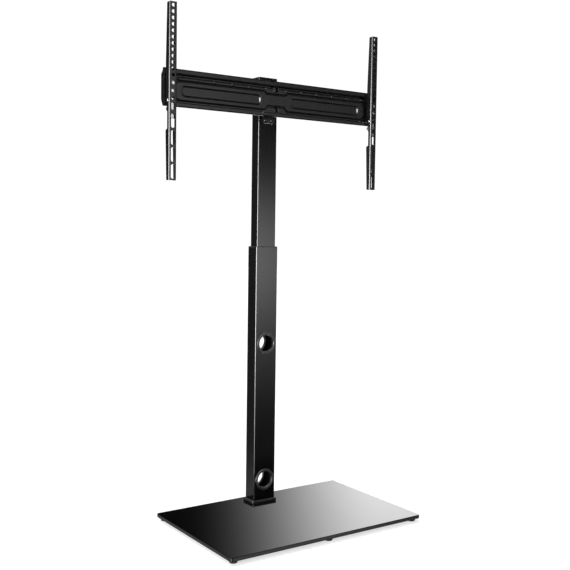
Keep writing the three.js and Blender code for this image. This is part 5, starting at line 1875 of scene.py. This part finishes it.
@dataclass
class Arm(Assembly):
    """Pierced channel that hooks on the wall plate, with its latch, spring and rivets.

    Attributes:
        side: Left or right.
        body: Body of the arm.
        latch_body: Body of its latch.
        wall: Thickness of the channel.
        bend: Outer radius of the long folds.
        inner_bend: Inner radius of the long folds, small enough for the latch to swing.
        hole: Radius of the round holes.
        slot: Radius of the slots' ends.
        corner: Corner radius of the face's ends.
        first_hole: Level of the first round hole.
        holes: Round holes above the plate.
        last_hole_gap: From the last of them to the rivet.
        slots: Long slots below the plate.
        bridge: Metal between two slots.
        pin: Radius of the latch's rivet.
        deep: Depth of the side flanges where they are deepest.
        shallow: Depth of the flanges at the latch.
    """

    side: str
    body: Body
    latch_body: Body
    wall: float = 2 * MM
    bend: float = 4.2 * MM
    inner_bend: float = 0.5 * MM
    hole: float = 4.5 * MM
    slot: float = 5 * MM
    corner: float = 2.5 * MM
    first_hole: float = 8.9 * MM
    holes: int = 12
    last_hole_gap: float = 19.27 * MM
    slots: int = 4
    bridge: float = 6 * MM
    pin: float = 2.5 * MM
    deep: float = 19 * MM
    shallow: float = 10.5 * MM

    def __post_init__(self) -> None:
        """Takes the arm's place from the frame."""
        low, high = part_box(f"{self.side}_arm")
        self.x = (low.x + high.x) / 2
        self.half = (high.x - low.x) / 2
        self.face = low.y
        self.top = high.z
        self.length = high.z - low.z
        self.depth = high.y - low.y
        plate_low, plate_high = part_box("wall_plate")
        self.plate_top = self.top - plate_high.z
        self.plate_foot = self.top - plate_low.z
        self.pivot = joint_point(f"{self.side}_latch_hinge")
        self.rivet = self.top - middle(f"{self.side}_spring_rivet").z

    def build(self) -> None:
        """Makes all pieces of one arm."""
        self._channel()
        self._latch()
        self._latch_pin()
        self._spring()
        self._rivet()

    def _at(self, behind: float, drop: float) -> Point2:
        """Gives a point of a side view as (y, z)."""
        return self.face + behind, self.top - drop

    def _flange_outline(self) -> list[Point2]:
        """Gives the side view of the channel, with the hook finger that hangs in the plate's lip.

        Returns:
            Its points, as (y, z).
        """
        deep, shallow = self.deep, self.shallow
        top_depth, foot_depth, soft_corner = 13.5 * MM, 14 * MM, 0.9 * MM
        above = self.plate_top - 15.5 * MM
        neck = self.plate_top + 11.6 * MM
        finger_top, finger_foot = self.plate_top + 4.5 * MM, self.plate_top + 18.1 * MM
        finger_front, finger_rear = self.depth - 3 * MM, self.depth
        cut_top, cut_foot = self.plate_foot - 7 * MM, self.plate_foot + 57.5 * MM
        below, taper = self.plate_foot + 61 * MM, self.plate_foot + 67 * MM
        rear = [(top_depth, 0), (deep, above), (deep, neck), (finger_front, neck),
                (finger_front, finger_top),
                (finger_rear, finger_top), (finger_rear, finger_foot), (deep, finger_foot), (deep, cut_top),
                (shallow, self.plate_foot), (shallow, cut_foot), (deep, below), (deep, taper),
                (foot_depth, self.length)]
        corners = [(0, 0), *rear, (0, self.length)]
        return [self._at(behind, drop) for behind, drop in softened(corners, soft_corner, steps=4)]

    def _channel(self) -> None:
        """Makes the folded and pierced channel."""
        low, high = self.top - self.length, self.top
        past = 2 * PAST
        reach = self.depth + 4 * PAST
        outer = rounded_rect(2 * self.half, reach + self.bend, self.bend,
                             (self.x, self.face + (reach + self.bend) / 2), steps=8)
        channel = prism("channel", outer, Axis.Z, low, high)
        inner = rounded_rect(2 * (self.half - self.wall), reach + self.bend, self.inner_bend,
                             (self.x, self.face + self.wall + (reach + self.bend) / 2), steps=6)
        worked(channel, Cut.TAKE, [prism("inside", inner, Axis.Z, low - past, high + past)])
        side_view = prism("side", self._flange_outline(), Axis.X, self.x - 2 * self.half,
                          self.x + 2 * self.half)
        front_view = prism("front", rounded_rect(2 * self.half, self.length, self.corner,
                                                 (self.x, (low + high) / 2)), Axis.Y, self.face - past,
                           self.face + reach + past)
        worked(channel, Cut.KEEP, [side_view])
        worked(channel, Cut.KEEP, [front_view])
        pin_hole = rod(self.pin + FILM, self.x - 2 * self.half, self.x + 2 * self.half, Axis.X,
                       Vector((0, self.pivot.y, self.pivot.z)))
        worked(channel, Cut.TAKE, [pin_hole])
        self._pierce(channel)
        eased(channel, 0.3 * MM, segments=2, angle=50)
        name = f"{self.side}_arm_channel"
        self.shop.hand_over(shaded(channel, angle=35), name, self.body, ARM_COAT, [f"{self.side}_arm"])

    def _pierce(self, channel: bpy.types.Object) -> None:
        """Punches the round holes and the slots through the face of the channel.

        Args:
            channel: The channel, which is pierced.
        """
        finish = self.shop.material(ARM_COAT)
        round_length, short_slot, narrower = 2 * self.hole, 19 * MM, 0.9999
        rivet_pitch, single_hole, single_slot, end_margin = 19.5 * MM, 38 * MM, 57.5 * MM, 4 * MM
        last = self.rivet - self.last_hole_gap
        pitch = (last - self.first_hole) / (self.holes - 1)
        first_slot = self.rivet + 75 * MM
        slot_pitch = (self.length - end_margin + self.bridge - first_slot) / self.slots
        slot_length = slot_pitch - self.bridge
        rows = [(self.hole, round_length, self.first_hole, pitch, self.holes),
                (self.hole, round_length, self.rivet, rivet_pitch, 2),
                (self.hole, round_length, self.rivet + single_hole, 0, 1),
                (self.slot, short_slot, self.rivet + single_slot, 0, 1),
                (self.slot, slot_length, first_slot + slot_length / 2, slot_pitch, self.slots)]
        for radius, length, first, step, count in rows:
            tool = prism("punch", rounded_rect(2 * radius, length, radius * narrower, (0, 0), steps=12),
                         Axis.Y,
                         -PAST, self.wall + PAST)
            place = Vector((self.x, self.face, self.top - first))
            self.shop.holes.punch(channel, tool, place, Vector((0, 0, -step)), count, finish)

    def _latch(self) -> None:
        """Makes the latch, a small channel with a nose and a catch that grips the foot of the plate."""
        plate_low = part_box("wall_plate")[0]
        front = plate_low.y - self.pivot.y
        bridge_low = plate_low.z + 8.5 * MM - self.pivot.z
        bridge_high = bridge_low + 2.7 * MM
        catch_low = bridge_low - 4.6 * MM
        corners = [(-5, 7), (6, 7), (front / MM - 0.5, bridge_high / MM),
                   (front / MM + 6.1, bridge_high / MM),
                   (front / MM + 6.1, catch_low / MM), (front / MM + 4, catch_low / MM),
                   (front / MM + 4, bridge_low / MM), (front / MM - 0.5, bridge_low / MM),
                   (6, catch_low / MM),
                   (6, -12.4), (12.5, -17), (12.5, -21.5), (6, -26), (0, -44), (-5, -44)]
        outline = softened([(self.pivot.y + y * MM, self.pivot.z + z * MM) for y, z in corners], 1 * MM,
                           steps=4)
        low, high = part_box(f"{self.side}_latch")
        latch = prism("latch", outline, Axis.X, low.x, high.x)
        inside = self.half - self.wall - FILM - 2 * MM
        hollow = [(self.pivot.y + y * MM, self.pivot.z + z * MM) for y, z in
                  ((-3, 8), (front / MM + 8, 8), (front / MM + 8, -45), (-3, -45))]
        cuts = [prism("hollow", hollow, Axis.X, self.x - inside, self.x + inside),
                rod(self.pin + FILM, low.x - PAST, high.x + PAST, Axis.X,
                    Vector((0, self.pivot.y, self.pivot.z)))]
        worked(latch, Cut.TAKE, cuts)
        eased(latch, 0.3 * MM, segments=2, angle=40)
        self.shop.hand_over(shaded(latch, angle=38), f"{self.side}_latch_lever", self.latch_body, ZINC,
                            [f"{self.side}_latch"])

    def _latch_pin(self) -> None:
        """Makes the rivet that the latch turns on."""
        low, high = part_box(f"{self.side}_latch_pin")
        head = 4.2 * MM
        face = self.half + FILM
        end = (high.x - low.x) / 2
        dome = [(head * math.cos(a), face + (end - face) * math.sin(a)) for a in
                [math.radians(step) for step in range(0, 81, 16)]]
        half_profile = [(self.pin, 0), (self.pin, face), *dome, (0, end)]
        profile = [(radius, -along) for radius, along in half_profile[::-1]] + half_profile[1:]
        pin = turned("pin", profile, Axis.X, sides=48, centre=Vector((self.x, self.pivot.y, self.pivot.z)))
        self.shop.hand_over(shaded(pin, angle=50), f"{self.side}_pivot_rivet", self.body, ZINC,
                            [f"{self.side}_latch_pin"])

    def _spring(self) -> None:
        """Makes the leaf that presses the latch home."""
        low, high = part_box(f"{self.side}_latch_spring")
        thick, tail, kick, gap, curl = 0.9 * MM, 12 * MM, 3 * MM, 0.3 * MM, 6 * MM
        rivet_hole = 2.5 * MM
        near = low.y + thick / 2
        line = softened([(near, high.z), (near, low.z + tail), (near + kick, low.z + gap)], curl, steps=8,
                        closed=False)
        leaf = prism("leaf", strip(line, thick), Axis.X, low.x, high.x)
        worked(leaf, Cut.TAKE, [rod(rivet_hole, low.y - PAST, high.y + PAST, Axis.Y,
                                    Vector((self.x, 0, self.top - self.rivet)), sides=40)])
        self.shop.hand_over(shaded(eased(leaf, 0.15 * MM, segments=2, angle=50)),
                            f"{self.side}_leaf_spring", self.body, ZINC,
                            [f"{self.side}_latch_spring"])

    def _rivet(self) -> None:
        """Makes the rivet that holds the spring."""
        low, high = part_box(f"{self.side}_spring_rivet")
        length = high.y - low.y
        neck, head, plug = 2.2 * MM, 4 * MM, self.hole - FILM
        head_height, plug_height, dent, edge, dent_share = 1.2 * MM, 1.85 * MM, 0.35 * MM, 0.3 * MM, 0.55
        head_from = length - head_height
        dome = [(head * math.cos(math.radians(a)), head_from + head_height * math.sin(math.radians(a)))
                for a in range(0, 81, 16)]
        profile = [(0, dent), (plug * dent_share, 0), (plug - edge, 0), (plug, edge), (plug, plug_height),
                   (neck, plug_height), (neck, head_from), *dome, (0, length)]
        rivet = turned("rivet", profile, Axis.Y, sides=48,
                       centre=Vector((self.x, low.y, self.top - self.rivet)))
        self.shop.hand_over(shaded(rivet, angle=45), f"{self.side}_leaf_rivet", self.body, ZINC,
                            [f"{self.side}_spring_rivet"])


# Studio


WHITE = (1.0, 1.0, 1.0, 1)


@dataclass(frozen=True)
class Softbox:
    """A bright patch of the studio, seen from the stand.

    Attributes:
        azimuth: Middle of the patch, clockwise from +Y seen from above, in degrees.
        elevation: Middle of the patch above the horizon.
        half_width: Half its width in degrees.
        half_height: Half its height in degrees.
        side_fade: Width of its soft left and right edges in degrees.
        top_fade: Width of its soft upper and lower edges in degrees.
        radiance: Its brightness.
        power: How fast it falls off; 1 is an even fade.
    """

    azimuth: float
    elevation: float
    half_width: float
    half_height: float
    side_fade: float
    top_fade: float
    radiance: float
    power: float = 1.0


@dataclass
class Studio:
    """Pale floor, soft light and the camera.

    Attributes:
        ambient: Light from where no patch is.
        boxes: The patches, from the front and the glass to the sides and the back.
        backdrop: Brightness of the backdrop that only the camera sees.
        floor_colour: Colour of the floor.
        floor_glow: How far the floor lights itself, so that it stays white with a faint shadow.
        floor_reach: From the stand to the floor's edges.
        camera_place: Place of the camera, from the top of the glass.
        yaw: Turn of the camera to the right, in radians.
        pitch: Its tilt upward.
        roll: Its lean.
        focal_pixels: Focal length in pixels of the photograph.
        frame_pixels: Width of the photograph in pixels.
        sensor: Width of the sensor in millimetres.
        near: Nearest distance that the camera sees.
    """

    ambient: float = 0.012
    boxes: tuple[Softbox, ...] = (
        Softbox(46.1, 17.4, 12, 5.2, 15, 3, 3.4, 2.0),
        Softbox(170, -1.4, 25, 3.0, 12, 6.0, 3.9),
        Softbox(170, -5.7, 25, 3.5, 12, 7.0, 1.2),
        Softbox(167, 10, 14, 6, 4, 6, 2.3),
        Softbox(180, 32, 22, 12, 12, 8, 0.3),
        Softbox(147, -22, 24, 4, 10, 3, 0.9),
        Softbox(330, -21, 14, 5, 10, 4, 0.45),
        Softbox(256, 0, 17, 10, 8, 12, 40.0),
        Softbox(242, 10, 9, 38, 6, 24, 11.0),
        Softbox(304, 5, 18, 30, 18, 20, 0.44),
        Softbox(350, 62, 50, 16, 30, 12, 7.5),
        Softbox(32, -14, 24, 8, 12, 10, 2.4),
        Softbox(222, -15, 18, 5, 10, 8, 0.7),
        Softbox(112, 14, 14, 7, 20, 6, 0.9),
        Softbox(92, -8, 24, 10, 14, 12, 1.6),
    )
    backdrop: float = 1.05
    floor_colour: tuple[float, float, float] = (0.42, 0.423, 0.426)
    floor_glow: float = 0.62
    floor_reach: float = 14.0
    camera_place: tuple[float, float, float] = (-1.3441, -1.9186, 0.7692)
    yaw: float = 0.6030
    pitch: float = -0.0628
    roll: float = 0.014
    focal_pixels: float = 879.7
    frame_pixels: float = 570.0
    sensor: float = 36.0
    near: float = 0.05

    def build(self) -> None:
        """Sets up the floor, the light and the camera."""
        self._floor()
        self._light()
        self._camera()
        bpy.context.scene.view_settings.view_transform = "Standard"

    def _floor(self) -> None:
        """Makes the pale floor."""
        reach = self.floor_reach
        shape = bmesh.new()
        corners = [shape.verts.new(place) for place in
                   ((-reach, -reach, 0), (reach, -reach, 0), (reach, reach, 0), (-reach, reach, 0))]
        shape.faces.new(corners)
        floor = from_bmesh("studio_floor", shape)
        material = bpy.data.materials.new("pale_floor")
        material.use_nodes = True
        values = {"Base Color": (*self.floor_colour, 1), "Emission Color": WHITE,
                  "Emission Strength": self.floor_glow, "Roughness": 0.9, "Specular IOR Level": 0.0}
        for label, value in values.items():
            material.node_tree.nodes["Principled BSDF"].inputs[label].default_value = value
        floor.data.materials.append(material)
        floor.visible_glossy = False

    @staticmethod
    def _window(graph: Graph, angle: bpy.types.NodeSocket, half: float,
                fade: float) -> bpy.types.NodeSocket:
        """Gives a soft-edged window about an angle of zero, in degrees.

        Args:
            graph: The graph that it is added to.
            angle: The angle.
            half: Half the width of the window.
            fade: Width of its soft edges.

        Returns:
            The socket of the share, from 0 outside to 1 inside.
        """
        return graph.add("ShaderNodeMapRange", {
            "Value": graph.math("ABSOLUTE", angle), "From Min": half - fade / 2,
            "From Max": half + fade / 2,
            "To Min": 1.0, "To Max": 0.0,
        }, interpolation_type="SMOOTHSTEP").outputs["Result"]

    def _light(self) -> None:
        """Makes the soft light: patches for the reflections, and white for the camera's own view."""
        world = bpy.data.worlds.new("studio")
        bpy.context.scene.world = world
        world.use_nodes = True
        world.node_tree.nodes.clear()
        graph = Graph(world.node_tree)
        way = graph.add("ShaderNodeTexCoord")
        parts = graph.add("ShaderNodeSeparateXYZ", {"Vector": way.outputs["Generated"]})
        turn = graph.math("DEGREES", graph.math("ARCTAN2", parts.outputs["X"], parts.outputs["Y"]))
        rise = graph.math("DEGREES", graph.math("ARCSINE", parts.outputs["Z"]))
        total: object = self.ambient
        for box in self.boxes:
            aside = graph.math("WRAP", graph.math("SUBTRACT", turn, box.azimuth), 180.0, -180.0)
            above = graph.math("SUBTRACT", rise, box.elevation)
            wide = self._window(graph, aside, box.half_width, box.side_fade)
            high = self._window(graph, above, box.half_height, box.top_fade)
            share = graph.math("POWER", graph.math("MULTIPLY", wide, high), box.power)
            total = graph.math("MULTIPLY_ADD", share, box.radiance, total)
        lit = graph.add("ShaderNodeBackground", {"Color": WHITE, "Strength": total})
        seen = graph.add("ShaderNodeBackground", {"Color": WHITE, "Strength": self.backdrop})
        path = graph.add("ShaderNodeLightPath")
        choice = graph.add("ShaderNodeMixShader", {
            "Fac": path.outputs["Is Camera Ray"], 1: lit.outputs["Background"],
            2: seen.outputs["Background"],
        })
        graph.add("ShaderNodeOutputWorld", {"Surface": choice.outputs["Shader"]})

    def _camera(self) -> None:
        """Puts the camera where the photograph was taken from."""
        data = bpy.data.cameras.new("camera")
        data.sensor_width = self.sensor
        data.lens = self.focal_pixels * self.sensor / self.frame_pixels
        data.clip_start = self.near
        camera = bpy.data.objects.new("camera", data)
        bpy.context.scene.collection.objects.link(camera)
        forward = Vector((math.sin(self.yaw) * math.cos(self.pitch),
                          math.cos(self.yaw) * math.cos(self.pitch),
                          math.sin(self.pitch)))
        level = Vector((math.cos(self.yaw), -math.sin(self.yaw), 0))
        upright = level.cross(forward)
        right = level * math.cos(self.roll) + upright * math.sin(self.roll)
        up = upright * math.cos(self.roll) - level * math.sin(self.roll)
        place = Vector(self.camera_place) + Vector((0, 0, GLASS_TOP))
        basis = Matrix((right, up, -forward)).transposed()
        camera.matrix_world = Matrix.Translation(place) @ basis.to_4x4()
        bpy.context.scene.camera = camera


def main() -> None:
    """Builds the stand's sub-assemblies in order, then the studio."""
    logging.basicConfig(level=logging.INFO, format="%(message)s")
    shop = Workshop()
    GlassBase(shop).build()
    Column(shop).build()
    Swivel(shop).build()
    WallPlate(shop).build()
    Arm(shop, "left", Body.LEFT_ARM, Body.LEFT_LATCH).build()
    Arm(shop, "right", Body.RIGHT_ARM, Body.RIGHT_LATCH).build()
    Studio().build()


if __name__ == "__main__":
    main()
